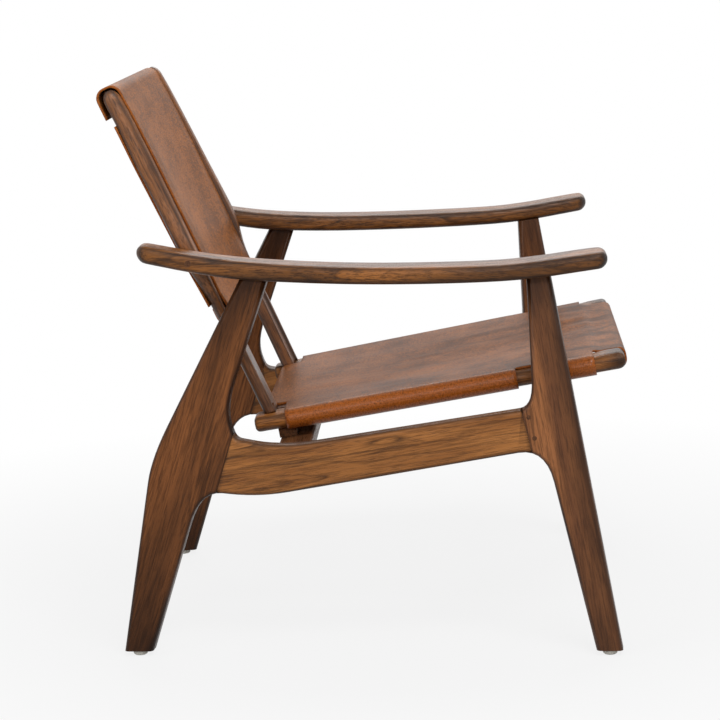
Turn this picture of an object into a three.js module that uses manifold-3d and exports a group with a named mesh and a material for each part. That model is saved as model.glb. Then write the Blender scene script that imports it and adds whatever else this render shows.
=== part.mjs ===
// Leather sling lounge chair: two splayed walnut side frames whose legs flow into their rail,
// paddle armrests, a sling seat on its own tilted frame and a reclined sling back.
// Millimetres and degrees. +X is the sitter's front, +Y the sitter's left, +Z up. Right is at -Y.
import * as THREE from "three";
import { mergeVertices } from "three/addons/utils/BufferGeometryUtils.js";
import Module from "manifold-3d";

const wasm = await Module();
wasm.setup();

// Fit and finish
const seam = 0.3; // air left between pieces that touch
const weld = 0.0005; // vertices closer than this are one
const overrun = 90; // how far a cutter runs past what it cuts
const leather = 3.2; // thickness of the saddle leather
const roundSides = 20; // facets round a peg, a bolt or a glide

// Side frames
const baseLength = 747.5; // rear foot's rear edge to front foot's front edge
const legHeight = 554; // foot to the underside of the armrest
const boardThickness = 30;
const boardRounding = 7;
const rearSpan = 606; // between the outer faces at the rear feet
const frameSplay = 3.81; // the frames open towards the front
const frameLean = 3.35; // and towards the floor
const filletSteps = 5;
const roundingSteps = 2;
const noseSteps = 4; // round a rail's nose, alike in the wood and in the leather over it

// Joints inside a side frame
const railTenonLength = 35;
const railTenonHeight = 46;
const railTenonThickness = 10;
const pegDiameter = 7;
const pegLength = 22;

// Glides under the feet
const glideHeight = 8;
const glideDiameter = 22;

// Armrests
const armLength = 687;
const armSetback = 46; // rear tip, in front of the rear foot's rear edge
const armWidth = 70;
const armThickness = 28;
const armCorner = 9.5;
const armTipRadius = 21; // the tip's corners, seen from above
const armTenonLength = 12;
const armTenonWidth = 20;
const armTenonThickness = 12;

// Bolt between armrest and back, with the wood plug over its head
const armBoltReach = 78; // from the armrest's rear tip
const boltDiameter = 6;
const boltHeadDiameter = 9;
const boltHeadHeight = 5;
const armBoltBite = 28; // thread inside the stile
const plugDiameter = 10;
const plugLength = 8;

// Seat frame
const seatRearRise = 11; // underside over the side frame's rail line, at the rear
const seatFrontRise = 17.5; // and at the front
const seatWidth = 505; // over the side rails at the front
const seatSplay = 2.83;
const seatRailWidth = 45;
const seatRailDepth = 25;
const seatRailOverhang = 115.3; // how far the side rails run on from the front support
const seatRailRear = 45.5; // how far the side rails run back from the rear support
const seatRailRounding = 5.5;
const seatNoseTop = 7; // radii of the rail ends and of the front rail
const seatNoseBottom = 11.5;
const seatCrossWidth = 40; // front and rear rails
const seatFrontDrop = 3; // the front rail hangs below the side rails
const seatRearDrop = 4.5;
const seatRearNose = 12;
const seatStub = 8; // tenon of a crossing rail
const seatStubHeight = 12;
const seatStubWidth = 22;

// Stretchers, seat blocks and their bolts
const stretcherWidth = 52;
const stretcherThickness = 20;
const stretcherOffset = 12.7; // its middle, in front of the rear support
const frontStretcherThickness = 24;
const frontStretcherHeight = 55;
const stretcherTenon = 10;
const stretcherTenonThickness = 12;
const stretcherTenonWidth = 34;
const rearBlockHeight = 15.9;
const frontBlockHeight = 6;
const blockWidth = 22;
const blockLength = 27;
const blockInset = 2.3; // from the side rail's inner edge
const frontBlockLength = 22;
const stretcherRounding = 4;
const seatBoltBite = 14;

// Seat leather
const seatFlapTuck = 10; // flat of the side flap under the rail
const seatFlapRear = 3;
const seatFlapFrontGap = 46; // from the front flap to the rails' front end
const seatNotchRear = 48.5; // the side flap is cut away at the front stretcher, behind its middle
const seatNotchFront = 26; // and in front of it
const seatSag = 7;
const hemTuck = 26; // flat of the front and rear flaps under their rails

// Back
const backSetback = 18; // stile foot behind the rear support
const stileLength = 543;
const stileDepth = 32;
const stileCorner = 6;
const stileDowelDiameter = 10;
const stileDowelBite = 14;
const backSag = 8;
const backRailDepth = 25.5;
const backBottomRailFoot = 151;
const backBottomRailHeight = 32;
const backTopRailDepth = 33.5;
const backTopRailHeight = 46.5;
const backRailNose = 10;
const backTopNose = 13;
const backStub = 8;
const backFlap = 16;
const rearPanelClear = 4; // between the rear panel and the crossing rails' leather

// Shares of the sizes above
// Side frame outline: along the base, up the leg, and the curve's reach along the run on each side
const outlineShares = [
  [0.2755, 1.0488, 0, 0],
  [0.0684, 0.5262, 0.1679, 0.1109],
  [-0.0047, -0.0362, 0, 0],
  [0.0501, -0.0362, 0, 0],
  [0.1649, 0.4394, 0.1999, 0.3797],
  [0.2842, 0.4213, 0.4939, 0.1027],
  [0.8543, 0.5458, 0.0928, 0.1574],
  [0.9539, -0.0362, 0, 0],
  [1.0047, -0.0362, 0, 0],
  [0.865, 1.0488, 0, 0],
  [0.8224, 1.0488, 0, 0],
  [0.8318, 0.6555, 0.1931, 0.053],
  [0.3311, 0.557, 0.1465, 0.5834],
  [0.2413, 0.5805, 0.1321, 0.1981],
  [0.2212, 0.6582, 0.6148, 0.1959],
  [0.3263, 1.0488, 0, 0],
];
const seatRearShare = 0.33645; // where the rear stretcher crosses, along the base
const seatFrontShare = 0.8709; // and the front stretcher
// The rail's top line, the two joint lines and the pegs of the front joint
const railTopShares = [
  [0.3311, 0.557],
  [0.8318, 0.6555],
];
const rearJointShares = [
  [0.1984, 0.4304],
  [0.2373, 0.5967],
];
const frontJointShares = [
  [0.8083, 0.6546],
  [0.8284, 0.5371],
];
const upperPegShare = [0.8231, 0.6311];
const lowerPegShare = [0.8338, 0.575];
const rearFootShare = 0.0295;
const frontFootShare = 0.9739;
const rearLegTopShare = 0.3;
const frontLegTopShare = 0.844;
const armSeatShare = 0.36; // of its thickness, from the leg's top to the armrest's middle
// Armrest: along, height, place outside the frame's face as a share of its width, width, thickness
const armShares = [
  [0, 1.0655, -0.054, 0.771, 0.929],
  [0.0189, 1.0622, -0.059, 0.771, 0.929],
  [0.1092, 1.0391, -0.104, 0.786, 0.964],
  [0.2096, 1.0187, -0.141, 0.814, 1],
  [0.3377, 1.0062, -0.11, 0.857, 0.946],
  [0.4818, 1, -0.004, 0.9, 0.911],
  [0.6274, 0.9991, 0.057, 0.943, 0.893],
  [0.7758, 1.0027, 0.074, 0.971, 0.875],
  [0.8617, 1.0115, 0.09, 0.986, 0.893],
  [0.9258, 1.0222, 0.12, 1, 0.893],
  [0.968, 1.0293, 0.149, 1, 0.875],
  [1, 1.0337, 0.171, 1, 0.875],
];
const armTipShares = [0.03, 0.14, 0.34, 0.62, 1];
const cornerLimitShare = 0.96; // the largest corner of a ring, of its half-size
// Stile: 0 at the foot, 1 at the bolt, 2 at the top; front and rear as shares of its depth,
// inner and outer side as shares of the reach to the armrest
const stileShares = [
  [-0.08, 0.344, -0.35, 0.671, 0.878],
  [0, 0.344, -0.35, 0.675, 0.881],
  [0.3405, 0.359, -0.325, 0.691, 0.897],
  [0.681, 0.381, -0.3125, 0.708, 0.914],
  [0.851, 0.406, -0.375, 0.7325, 0.955],
  [0.946, 0.425, -0.425, 0.749, 0.992],
  [1, 0.4375, -0.444, 0.757, 1],
  [1.0743, 0.4375, -0.459, 0.765, 1],
  [1.182, 0.4375, -0.481, 0.772, 0.984],
  [1.3435, 0.431, -0.5125, 0.776, 0.965],
  [1.58, 0.422, -0.556, 0.782, 0.955],
  [1.806, 0.39, -0.5625, 0.79, 0.942],
  [1.917, 0.34, -0.541, 0.795, 0.935],
  [1.957, 0.3, -0.525, 0.798, 0.932],
  [1.982, 0.2, -0.45, 0.806, 0.924],
  [1.998, 0.06, -0.31, 0.82, 0.91],
];
const backPanelShare = 0.869; // the back leather's half-width, of the same reach
const rearPanelShare = 0.922; // and the rear panel's
const rearPanelTopShare = 0.9; // of the stile
// Sling columns, as shares of the half-width of the leather's top
const seatColumnShares = [0.15, 0.45, 0.738, 0.82, 0.921, 1];
const seatInnerColumnShare = 0.82;
const seatRearColumnShare = 0.738;
const seatFrontColumnShare = 0.921;
const seatRowShares = [0.16, 0.32, 0.49, 0.66, 0.83];
const backColumnShares = [0.17, 0.5, 0.8, 0.92, 1];
const backLoopColumnShare = 0.8;
const backRowShares = [0.14, 0.28, 0.42, 0.56, 0.7, 0.85];

// Colours
const walnut = { color: 0x5e3b24, roughness: 0.42, metalness: 0 };
const walnutLight = { color: 0x76492a, roughness: 0.42, metalness: 0 };
const hide = { color: 0x8a4a26, roughness: 0.38, metalness: 0 };
const hideRear = { color: 0x7d4322, roughness: 0.5, metalness: 0 };
const nylon = { color: 0xd9d6cf, roughness: 0.55, metalness: 0 };
const steel = { color: 0x9a9a9a, roughness: 0.35, metalness: 1 };

// Solids
function asSolid(geometry) {
  const bare = geometry.index ? geometry.toNonIndexed() : geometry.clone();
  bare.deleteAttribute("normal");
  bare.deleteAttribute("uv");
  const merged = mergeVertices(bare, weld);
  const mesh = new wasm.Mesh({
    numProp: 3,
    vertProperties: merged.attributes.position.array,
    triVerts: new Uint32Array(merged.index.array),
  });
  return new wasm.Manifold(mesh);
}

function asGeometry(solid) {
  const mesh = solid.getMesh();
  const geometry = new THREE.BufferGeometry();
  const vertices = new Float32Array(mesh.vertProperties);
  geometry.setAttribute("position", new THREE.BufferAttribute(vertices, 3));
  geometry.setIndex(Array.from(mesh.triVerts));
  geometry.computeVertexNormals();
  return geometry;
}

function cut(geometry, ...tools) {
  return asGeometry(tools.reduce((solid, tool) => solid.subtract(asSolid(tool)), asSolid(geometry)));
}

function joined(geometry, ...others) {
  return asGeometry(others.reduce((solid, other) => solid.add(asSolid(other)), asSolid(geometry)));
}

function common(geometry, other) {
  return asGeometry(asSolid(geometry).intersect(asSolid(other)));
}

// A geometry of one group, in the coordinates of another
function moved(geometry, from, to) {
  from.updateWorldMatrix(true, false);
  to.updateWorldMatrix(true, false);
  const matrix = to.matrixWorld.clone().invert().multiply(from.matrixWorld);
  return geometry.clone().applyMatrix4(matrix);
}

// The same shape for the other side of the chair
function mirrored(geometry) {
  const flat = geometry.index ? geometry.toNonIndexed() : geometry.clone();
  const position = flat.attributes.position;
  const triangles = [];
  for (let i = 0; i < position.count; i += 3)
    for (const k of [i, i + 2, i + 1])
      triangles.push(position.getX(k), -position.getY(k), position.getZ(k));
  const other = new THREE.BufferGeometry();
  other.setAttribute("position", new THREE.Float32BufferAttribute(triangles, 3));
  other.computeVertexNormals();
  return other;
}

// Each mesh stands at the middle of its own shape
function addPiece(name, geometry, group, look) {
  geometry.computeBoundingBox();
  const middle = geometry.boundingBox.getCenter(new THREE.Vector3());
  const own = geometry.clone().translate(-middle.x, -middle.y, -middle.z);
  const mesh = new THREE.Mesh(own, new THREE.MeshStandardMaterial(look));
  mesh.name = name;
  mesh.position.copy(middle);
  group.add(mesh);
}

function addPair(name, geometry, rightGroup, leftGroup, look) {
  addPiece(`right_${name}`, geometry, rightGroup, look);
  addPiece(`left_${name}`, mirrored(geometry), leftGroup, look);
}

function box(x0, x1, y0, y1, z0, z1) {
  const geometry = new THREE.BoxGeometry(x1 - x0, y1 - y0, z1 - z0);
  return geometry.translate((x0 + x1) / 2, (y0 + y1) / 2, (z0 + z1) / 2);
}

// A round bar across the chair, from y0 to y1
function rodAcross(diameter, x, z, y0, y1) {
  const geometry = new THREE.CylinderGeometry(diameter / 2, diameter / 2, y1 - y0, roundSides);
  return geometry.translate(x, (y0 + y1) / 2, z);
}

// A round bar that stands on the seat's plane, from z0 to z1
function rodUp(diameter, x, y, z0, z1) {
  const geometry = new THREE.CylinderGeometry(diameter / 2, diameter / 2, z1 - z0, roundSides);
  return geometry.rotateX(Math.PI / 2).translate(x, y, (z0 + z1) / 2);
}

// A board: the shape is in the upright plane, its outer face at y 0, rounded on both faces
function board(shape, thickness, rounding, steps) {
  const geometry = new THREE.ExtrudeGeometry(shape, {
    depth: thickness - 2 * rounding,
    bevelThickness: rounding,
    bevelSize: rounding,
    bevelOffset: -rounding,
    bevelSegments: roundingSteps,
    curveSegments: steps,
  });
  return geometry.rotateX(Math.PI / 2).translate(0, thickness - rounding, 0);
}

// A rectangle in the upright plane with a radius at each corner: rear low, front low, front high, rear high
function roundedSection(x0, x1, z0, z1, radii) {
  const [rearLow, frontLow, frontHigh, rearHigh] = radii;
  const shape = new THREE.Shape();
  shape.moveTo(x0 + rearLow, z0);
  shape.lineTo(x1 - frontLow, z0);
  shape.absarc(x1 - frontLow, z0 + frontLow, frontLow, -Math.PI / 2, 0);
  shape.lineTo(x1, z1 - frontHigh);
  shape.absarc(x1 - frontHigh, z1 - frontHigh, frontHigh, 0, Math.PI / 2);
  shape.lineTo(x0 + rearHigh, z1);
  shape.absarc(x0 + rearHigh, z1 - rearHigh, rearHigh, Math.PI / 2, Math.PI);
  shape.lineTo(x0, z0 + rearLow);
  shape.absarc(x0 + rearLow, z0 + rearLow, rearLow, Math.PI, 1.5 * Math.PI);
  return shape;
}

// A bar of that section right across the chair, half its length to each side
function barAcross(section, halfLength) {
  const geometry = new THREE.ExtrudeGeometry(section, {
    depth: 2 * halfLength,
    bevelEnabled: false,
    curveSegments: noseSteps / 2,
  });
  return geometry.rotateX(Math.PI / 2).translate(0, halfLength, 0);
}

// A skin over closed rings of equal count, with flat ends
function loft(rings) {
  const count = rings[0].length;
  const points = [];
  const faces = [];
  rings.forEach((ring) => ring.forEach((p) => points.push(p.x, p.y, p.z)));
  for (let i = 0; i + 1 < rings.length; i++)
    for (let j = 0; j < count; j++) {
      const a = i * count + j;
      const b = i * count + ((j + 1) % count);
      faces.push(a, b, b + count, a, b + count, a + count);
    }
  for (let j = 1; j + 1 < count; j++) {
    const last = (rings.length - 1) * count;
    faces.push(0, j + 1, j, last, last + j, last + j + 1);
  }
  const geometry = new THREE.BufferGeometry();
  geometry.setAttribute("position", new THREE.Float32BufferAttribute(points, 3));
  geometry.setIndex(faces);
  return geometry;
}

// A ring with rounded corners about a middle; each corner takes four points
function ringPoints(halfWide, halfTall, radius) {
  const corner = Math.min(radius, cornerLimitShare * halfWide, cornerLimitShare * halfTall);
  const points = [];
  for (let quarter = 0; quarter < 4; quarter++)
    for (let step = 0; step < 4; step++) {
      const angle = (quarter + step / 3) * (Math.PI / 2);
      const sideways = quarter === 0 || quarter === 3 ? 1 : -1;
      const upward = quarter < 2 ? 1 : -1;
      points.push([
        sideways * (halfWide - corner) + corner * Math.cos(angle),
        upward * (halfTall - corner) + corner * Math.sin(angle),
      ]);
    }
  return points;
}

// Reads a table of shares at a place, by straight lines between its rows
function readTable(rows, at) {
  const last = rows.length - 1;
  let i = 0;
  while (i < last - 1 && rows[i + 1][0] < at) i++;
  const t = (at - rows[i][0]) / (rows[i + 1][0] - rows[i][0]);
  const clamped = Math.min(1, Math.max(0, t));
  return rows[i].map((value, k) => value + clamped * (rows[i + 1][k] - value));
}

// A leather sheet of rows and columns, closed at every free edge
function sheetShell(rowCount, columnCount, present, pointAt) {
  const outer = [];
  const inner = [];
  for (let i = 0; i < rowCount; i++)
    for (let j = 0; j < columnCount; j++) {
      const { place, normal } = pointAt(i, j);
      outer.push(place);
      inner.push(place.clone().addScaledVector(normal, -leather));
    }
  const points = [...outer, ...inner];
  const faces = [];
  const quad = (a, b, c, d) => faces.push(a, b, c, a, c, d);
  const at = (i, j) => i * columnCount + j;
  const below = outer.length;
  const has = (i, j) =>
    i >= 0 && j >= 0 && i < rowCount - 1 && j < columnCount - 1 && present(i, j);
  for (let i = 0; i + 1 < rowCount; i++)
    for (let j = 0; j + 1 < columnCount; j++) {
      if (!has(i, j)) continue;
      const [a, b, c, d] = [at(i, j), at(i + 1, j), at(i + 1, j + 1), at(i, j + 1)];
      quad(a, b, c, d);
      quad(a + below, d + below, c + below, b + below);
      if (!has(i, j - 1)) quad(a, a + below, b + below, b);
      if (!has(i + 1, j)) quad(b, b + below, c + below, c);
      if (!has(i, j + 1)) quad(c, c + below, d + below, d);
      if (!has(i - 1, j)) quad(d, d + below, a + below, a);
    }
  const flat = faces.flatMap((k) => [points[k].x, points[k].y, points[k].z]);
  const geometry = new THREE.BufferGeometry();
  geometry.setAttribute("position", new THREE.Float32BufferAttribute(flat, 3));
  return geometry;
}

// Rows round a nose of given radius, from one angle to another, about a middle
function noseRows(x, z, radius, from, to, steps) {
  const rows = [];
  for (let k = 0; k <= steps; k++) {
    const angle = from + ((to - from) * k) / steps;
    const [nx, nz] = [Math.cos(angle), Math.sin(angle)];
    rows.push({ x: x + radius * nx, z: z + radius * nz, nx, nz });
  }
  return rows;
}

const degrees = THREE.MathUtils.degToRad;
const chair = new THREE.Group();
const origin = new THREE.Group();
chair.add(origin);

// Side frames: groups at the rear feet, leaned and splayed
const right = new THREE.Group();
right.position.set(0, -rearSpan / 2, glideHeight);
right.rotation.set(-degrees(frameLean), 0, -degrees(frameSplay), "ZYX");
const left = new THREE.Group();
left.position.set(0, rearSpan / 2, glideHeight);
left.rotation.set(degrees(frameLean), 0, degrees(frameSplay), "ZYX");
origin.add(right, left);
chair.updateMatrixWorld(true);

const onFrame = ([along, up]) => new THREE.Vector2(along * baseLength, up * legHeight);
const frameNormal = new THREE.Vector3(0, 1, 0).transformDirection(right.matrixWorld);

// Half-width of the chair over the frames' outer faces, at a place seen from the side
function frameHalfWidth(x, z) {
  const rise = (frameNormal.x * x + frameNormal.z * (z - glideHeight)) / frameNormal.y;
  return rearSpan / 2 + rise;
}

function frameOutline() {
  const points = outlineShares.map(onFrame);
  const shape = new THREE.Shape();
  points.forEach((point, i) => {
    const before = points[(i + points.length - 1) % points.length];
    const after = points[(i + 1) % points.length];
    const [, , reachIn, reachOut] = outlineShares[i];
    const start = point.clone().lerp(before, reachIn);
    const end = point.clone().lerp(after, reachOut);
    if (i === 0) shape.moveTo(start.x, start.y);
    else shape.lineTo(start.x, start.y);
    if (reachIn > 0) shape.quadraticCurveTo(point.x, point.y, end.x, end.y);
  });
  shape.closePath();
  return shape;
}

// A block on the left of a line in the frame's plane, moved off the line
function beside(shares, offset) {
  const [start, end] = shares.map(onFrame);
  const along = end.clone().sub(start);
  const depth = boardThickness + 2 * overrun;
  const block = box(-baseLength, baseLength, -overrun, depth - overrun, offset, offset + baseLength);
  return block.rotateY(-along.angle()).translate(start.x, 0, start.y);
}

// The rail's tenon at a joint line, grown on its sides and at its end
function railTenon(shares, grow) {
  const [start, end] = shares.map(onFrame);
  const along = end.clone().sub(start);
  const [half, middle] = [railTenonHeight / 2 + grow, boardThickness / 2];
  const thick = railTenonThickness / 2 + grow;
  const block = box(-half, half, middle - thick, middle + thick, -railTenonThickness, railTenonLength + grow);
  const centre = start.clone().add(end).divideScalar(2);
  return block.rotateY(-along.angle()).translate(centre.x, 0, centre.y);
}

function peg(share, grow) {
  const at = onFrame(share);
  return rodAcross(pegDiameter + 2 * grow, at.x, at.y, -grow, pegLength + grow);
}

// Armrests
const arms = new THREE.Group();
const armHeight = glideHeight + legHeight + armThickness * armSeatShare;
arms.position.set(armSetback, 0, 0);
origin.add(arms);

function armAt(along) {
  const [, height, aside, width, thickness] = readTable(armShares, along / armLength);
  const z = glideHeight + (armHeight - glideHeight) * height;
  const wide = width * armWidth;
  const y = frameHalfWidth(armSetback + along, z) + aside * armWidth;
  return { z, y, halfWide: wide / 2, halfThick: (thickness * armThickness) / 2 };
}

// How far a rounded end is drawn in, at a distance from its tip
function tipInset(radius, distance) {
  const rest = Math.max(0, radius - distance);
  return radius - Math.sqrt(radius * radius - rest * rest);
}

function armRing(along, tipDistance) {
  const { z, y, halfWide, halfThick } = armAt(along);
  const wide = halfWide - tipInset(armTipRadius, tipDistance);
  const thick = halfThick - tipInset(halfThick, tipDistance);
  return ringPoints(wide, thick, armCorner).map(([a, b]) => new THREE.Vector3(along, a - y, b + z));
}

const armTip = armTipShares.map((share) => share * armTipRadius);
const armStations = armShares.map(([share]) => share * armLength);
const armInside = armStations.filter((at) => at > armTipRadius && at < armLength - armTipRadius);
const armBlank = loft([
  ...armTip.map((distance) => armRing(distance, distance)),
  ...armInside.map((at) => armRing(at, armTipRadius)),
  ...armTip.toReversed().map((distance) => armRing(armLength - distance, distance)),
]);

// What the legs must clear: everything over the armrest's underside
const armSky = loft(
  armStations.map((along) => {
    const { z, y, halfThick } = armAt(along);
    const [low, high] = [z - halfThick - seam, z + overrun];
    return [
      new THREE.Vector3(along, armWidth - y, low),
      new THREE.Vector3(along, armWidth - y, high),
      new THREE.Vector3(along, -armWidth - y, high),
      new THREE.Vector3(along, -armWidth - y, low),
    ];
  }),
);

// A tenon on top of a leg, in the side frame's coordinates
function armTenon(share, grow) {
  const x = share * baseLength;
  const under = armAt(x - armSetback);
  const top = under.z - under.halfThick - glideHeight;
  const middle = boardThickness / 2;
  const [long, thick] = [armTenonWidth / 2 + grow, armTenonThickness / 2 + grow];
  const high = top + armTenonLength + grow;
  return box(x - long, x + long, middle - thick, middle + thick, top - armTenonLength, high);
}

// Seat frame: its tilt follows the rail's top line and the two rises
const [railRearPoint, railFrontPoint] = railTopShares.map(onFrame);
function railTop(x) {
  const t = (x - railRearPoint.x) / (railFrontPoint.x - railRearPoint.x);
  return glideHeight + railRearPoint.y + t * (railFrontPoint.y - railRearPoint.y);
}
const seatSetback = seatRearShare * baseLength;
const seatReach = seatFrontShare * baseLength - seatSetback;
const seatLow = railTop(seatSetback) + seatRearRise;
const seatHigh = railTop(seatSetback + seatReach) + seatFrontRise;
const seatTilt = Math.atan2(seatHigh - seatLow, seatReach);
const frontReach = seatReach / Math.cos(seatTilt);
const seatRailFront = frontReach + seatRailOverhang;
const seat = new THREE.Group();
seat.position.set(seatSetback, 0, seatLow);
seat.rotation.y = -seatTilt;
origin.add(seat);

const seatRailHalf = (x) => seatWidth / 2 - (seatRailFront - x) * Math.tan(degrees(seatSplay));
const seatRight = new THREE.Group();
seatRight.position.set(0, -seatRailHalf(0), 0);
seatRight.rotation.z = -degrees(seatSplay);
const seatLeft = new THREE.Group();
seatLeft.position.set(0, seatRailHalf(0), 0);
seatLeft.rotation.z = degrees(seatSplay);
seat.add(seatRight, seatLeft);

// Back: reclined so that its stiles meet the armrest bolts
const armBolt = armAt(armBoltReach);
const armBoltX = armSetback + armBoltReach;
const stileFoot = new THREE.Vector3(-backSetback, 0, seatRailDepth + seam);
seat.updateWorldMatrix(true, false);
stileFoot.applyMatrix4(seat.matrixWorld);
const recline = Math.atan2(stileFoot.x - armBoltX, armBolt.z - stileFoot.z);
const boltAlong = Math.hypot(stileFoot.x - armBoltX, armBolt.z - stileFoot.z);
const bossReach = armBolt.y - armBolt.halfWide - seam;
const back = new THREE.Group();
back.position.copy(stileFoot);
back.rotation.y = -recline;
origin.add(back);
chair.updateMatrixWorld(true);

// Crossing bars end at planes inside the side frames or the seat rails
function beyondInner(group, otherGroup, thickness, offset, home) {
  const face = thickness + offset;
  const block = box(-baseLength, 2 * baseLength, face - baseLength, face, -legHeight, 2 * legHeight);
  const other = mirrored(block);
  return [moved(block, group, home), moved(other, otherGroup, home)];
}

// Stretchers lie parallel to the seat
const rearTop = -rearBlockHeight - 2 * seam;
const frontTop = -frontBlockHeight - 2 * seam;
const rearStretcherSpan = [stretcherOffset - stretcherWidth / 2, stretcherOffset + stretcherWidth / 2];
const frontStretcherSpan = [
  frontReach - frontStretcherThickness / 2,
  frontReach + frontStretcherThickness / 2,
];
const stretcherRadii = Array(4).fill(stretcherRounding);

function stretcherTenonBar(x, z, halfX, halfZ, grow) {
  const far = rearSpan / 2 + overrun;
  return box(x - halfX - grow, x + halfX + grow, -far, far, z - halfZ - grow, z + halfZ + grow);
}

const rearTenonAt = (grow) =>
  stretcherTenonBar(
    stretcherOffset,
    rearTop - stretcherThickness / 2,
    stretcherTenonWidth / 2,
    stretcherTenonThickness / 2,
    grow,
  );
const frontTenonAt = (grow) =>
  stretcherTenonBar(
    frontReach,
    frontTop - frontStretcherHeight / 2,
    stretcherTenonThickness / 2,
    stretcherTenonWidth / 2,
    grow,
  );

function stretcher(section, tenon) {
  const far = rearSpan / 2 + overrun;
  const body = cut(barAcross(section, far), ...beyondInner(right, left, boardThickness, seam, seat));
  const stub = cut(tenon, ...beyondInner(right, left, boardThickness, -stretcherTenon, seat));
  return joined(body, stub);
}

const mortiseFor = (tenon) =>
  moved(
    cut(tenon, ...beyondInner(right, left, boardThickness, -stretcherTenon - seam, seat)),
    seat,
    right,
  );

// Bolts that hold the seat rails down through blocks and stretchers
const boltHole = boltDiameter + 2 * seam;
const headHole = boltHeadDiameter + 2 * seam;
const blockMiddle = (x) => seatRailHalf(x) - seatRailWidth + blockInset + blockWidth / 2;
const rearBoltX = 0;
const rearGrip = rearTop - stretcherThickness;
const frontGrip = frontTop - stretcherThickness;

function seatBolt(x, grip) {
  const [y, head] = [-blockMiddle(x), grip - seam];
  const shank = rodUp(boltDiameter, x, y, head - boltHeadHeight / 2, seatBoltBite);
  return joined(shank, rodUp(boltHeadDiameter, x, y, head - boltHeadHeight, head));
}

function seatBoltHole(x, grip, depth) {
  const y = -blockMiddle(x);
  const shank = rodUp(boltHole, x, y, grip - overrun, seatBoltBite + seam);
  return depth > 0 ? joined(shank, rodUp(headHole, x, y, grip - overrun, grip)) : shank;
}

const bothSides = (geometry) => [geometry, mirrored(geometry)];
const rearBoltCut = seatBoltHole(rearBoltX, rearGrip, 0);
const frontBoltCut = seatBoltHole(frontReach, frontGrip, frontStretcherHeight - stretcherThickness);

const rearSection = roundedSection(...rearStretcherSpan, rearGrip, rearTop, stretcherRadii);
const rearStretcher = cut(stretcher(rearSection, rearTenonAt(0)), ...bothSides(rearBoltCut));
addPiece("rear_stretcher", rearStretcher, seat, walnut);
const frontBottom = frontTop - frontStretcherHeight;
const frontSection = roundedSection(...frontStretcherSpan, frontBottom, frontTop, stretcherRadii);
const frontStretcher = cut(stretcher(frontSection, frontTenonAt(0)), ...bothSides(frontBoltCut));
addPiece("front_stretcher", frontStretcher, seat, walnut);

function seatBlock(x, length, top, height, hole) {
  const y = -blockMiddle(x);
  const wide = blockWidth / 2;
  const body = box(x - length / 2, x + length / 2, y - wide, y + wide, top + seam, top + seam + height);
  return cut(body, hole);
}
const rearBlock = seatBlock(rearBoltX, blockLength, rearTop, rearBlockHeight, rearBoltCut);
const frontBlock = seatBlock(frontReach, frontBlockLength, frontTop, frontBlockHeight, frontBoltCut);
addPair("rear_seat_block", rearBlock, seat, seat, walnut);
addPair("front_seat_block", frontBlock, seat, seat, walnut);
addPair("rear_seat_bolt", seatBolt(rearBoltX, rearGrip), seat, seat, steel);
addPair("front_seat_bolt", seatBolt(frontReach, frontGrip), seat, seat, steel);

// Side frames, cut out of one flowing outline at the joint lines
const floorBlock = box(-baseLength, 2 * baseLength, -rearSpan, rearSpan, -legHeight, glideHeight);
const floorCut = moved(floorBlock, origin, right);
const armCut = moved(armSky, arms, right);
const frameBlank = cut(board(frameOutline(), boardThickness, boardRounding, filletSteps), floorCut, armCut);
const pegCuts = [peg(upperPegShare, seam), peg(lowerPegShare, seam)];
const rearMortise = railTenon(rearJointShares, seam);
const frontMortise = railTenon(frontJointShares, seam);

const rearLeg = cut(common(frameBlank, beside(rearJointShares, seam / 2)), rearMortise);
const frontLegBody = common(frameBlank, beside(frontJointShares, seam / 2));
const frontLeg = cut(frontLegBody, frontMortise, ...pegCuts, mortiseFor(frontTenonAt(seam)));
addPair("rear_leg", joined(rearLeg, armTenon(rearLegTopShare, 0)), right, left, walnut);
addPair("front_leg", joined(frontLeg, armTenon(frontLegTopShare, 0)), right, left, walnut);

const railBody = cut(frameBlank, beside(rearJointShares, -seam / 2), beside(frontJointShares, -seam / 2));
const railWithTenons = joined(railBody, railTenon(rearJointShares, 0), railTenon(frontJointShares, 0));
const rail = cut(railWithTenons, ...pegCuts, mortiseFor(rearTenonAt(seam)));
addPair("side_rail", rail, right, left, walnutLight);
addPair("upper_joint_peg", peg(upperPegShare, 0), right, left, walnut);
addPair("lower_joint_peg", peg(lowerPegShare, 0), right, left, walnut);

// Glides: low domes under the middle of each foot
function glide() {
  const radius = glideDiameter / 2;
  const profile = [];
  const tall = glideHeight - seam;
  profile.push(new THREE.Vector2(0, 0));
  for (let step = 0; step <= filletSteps; step++) {
    const angle = (step / filletSteps) * (Math.PI / 2);
    const out = radius - (tall / 2) * (1 - Math.sin(angle));
    profile.push(new THREE.Vector2(out, (tall / 2) * (1 - Math.cos(angle))));
  }
  profile.push(new THREE.Vector2(radius, tall), new THREE.Vector2(0, tall));
  return new THREE.LatheGeometry(profile, roundSides).rotateX(Math.PI / 2);
}
function addGlides(name, share) {
  const place = new THREE.Vector3(share * baseLength, boardThickness / 2, 0);
  place.applyMatrix4(right.matrixWorld);
  addPair(name, glide().translate(place.x, place.y, 0), origin, origin, nylon);
}
addGlides("rear_glide", rearFootShare);
addGlides("front_glide", frontFootShare);

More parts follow.
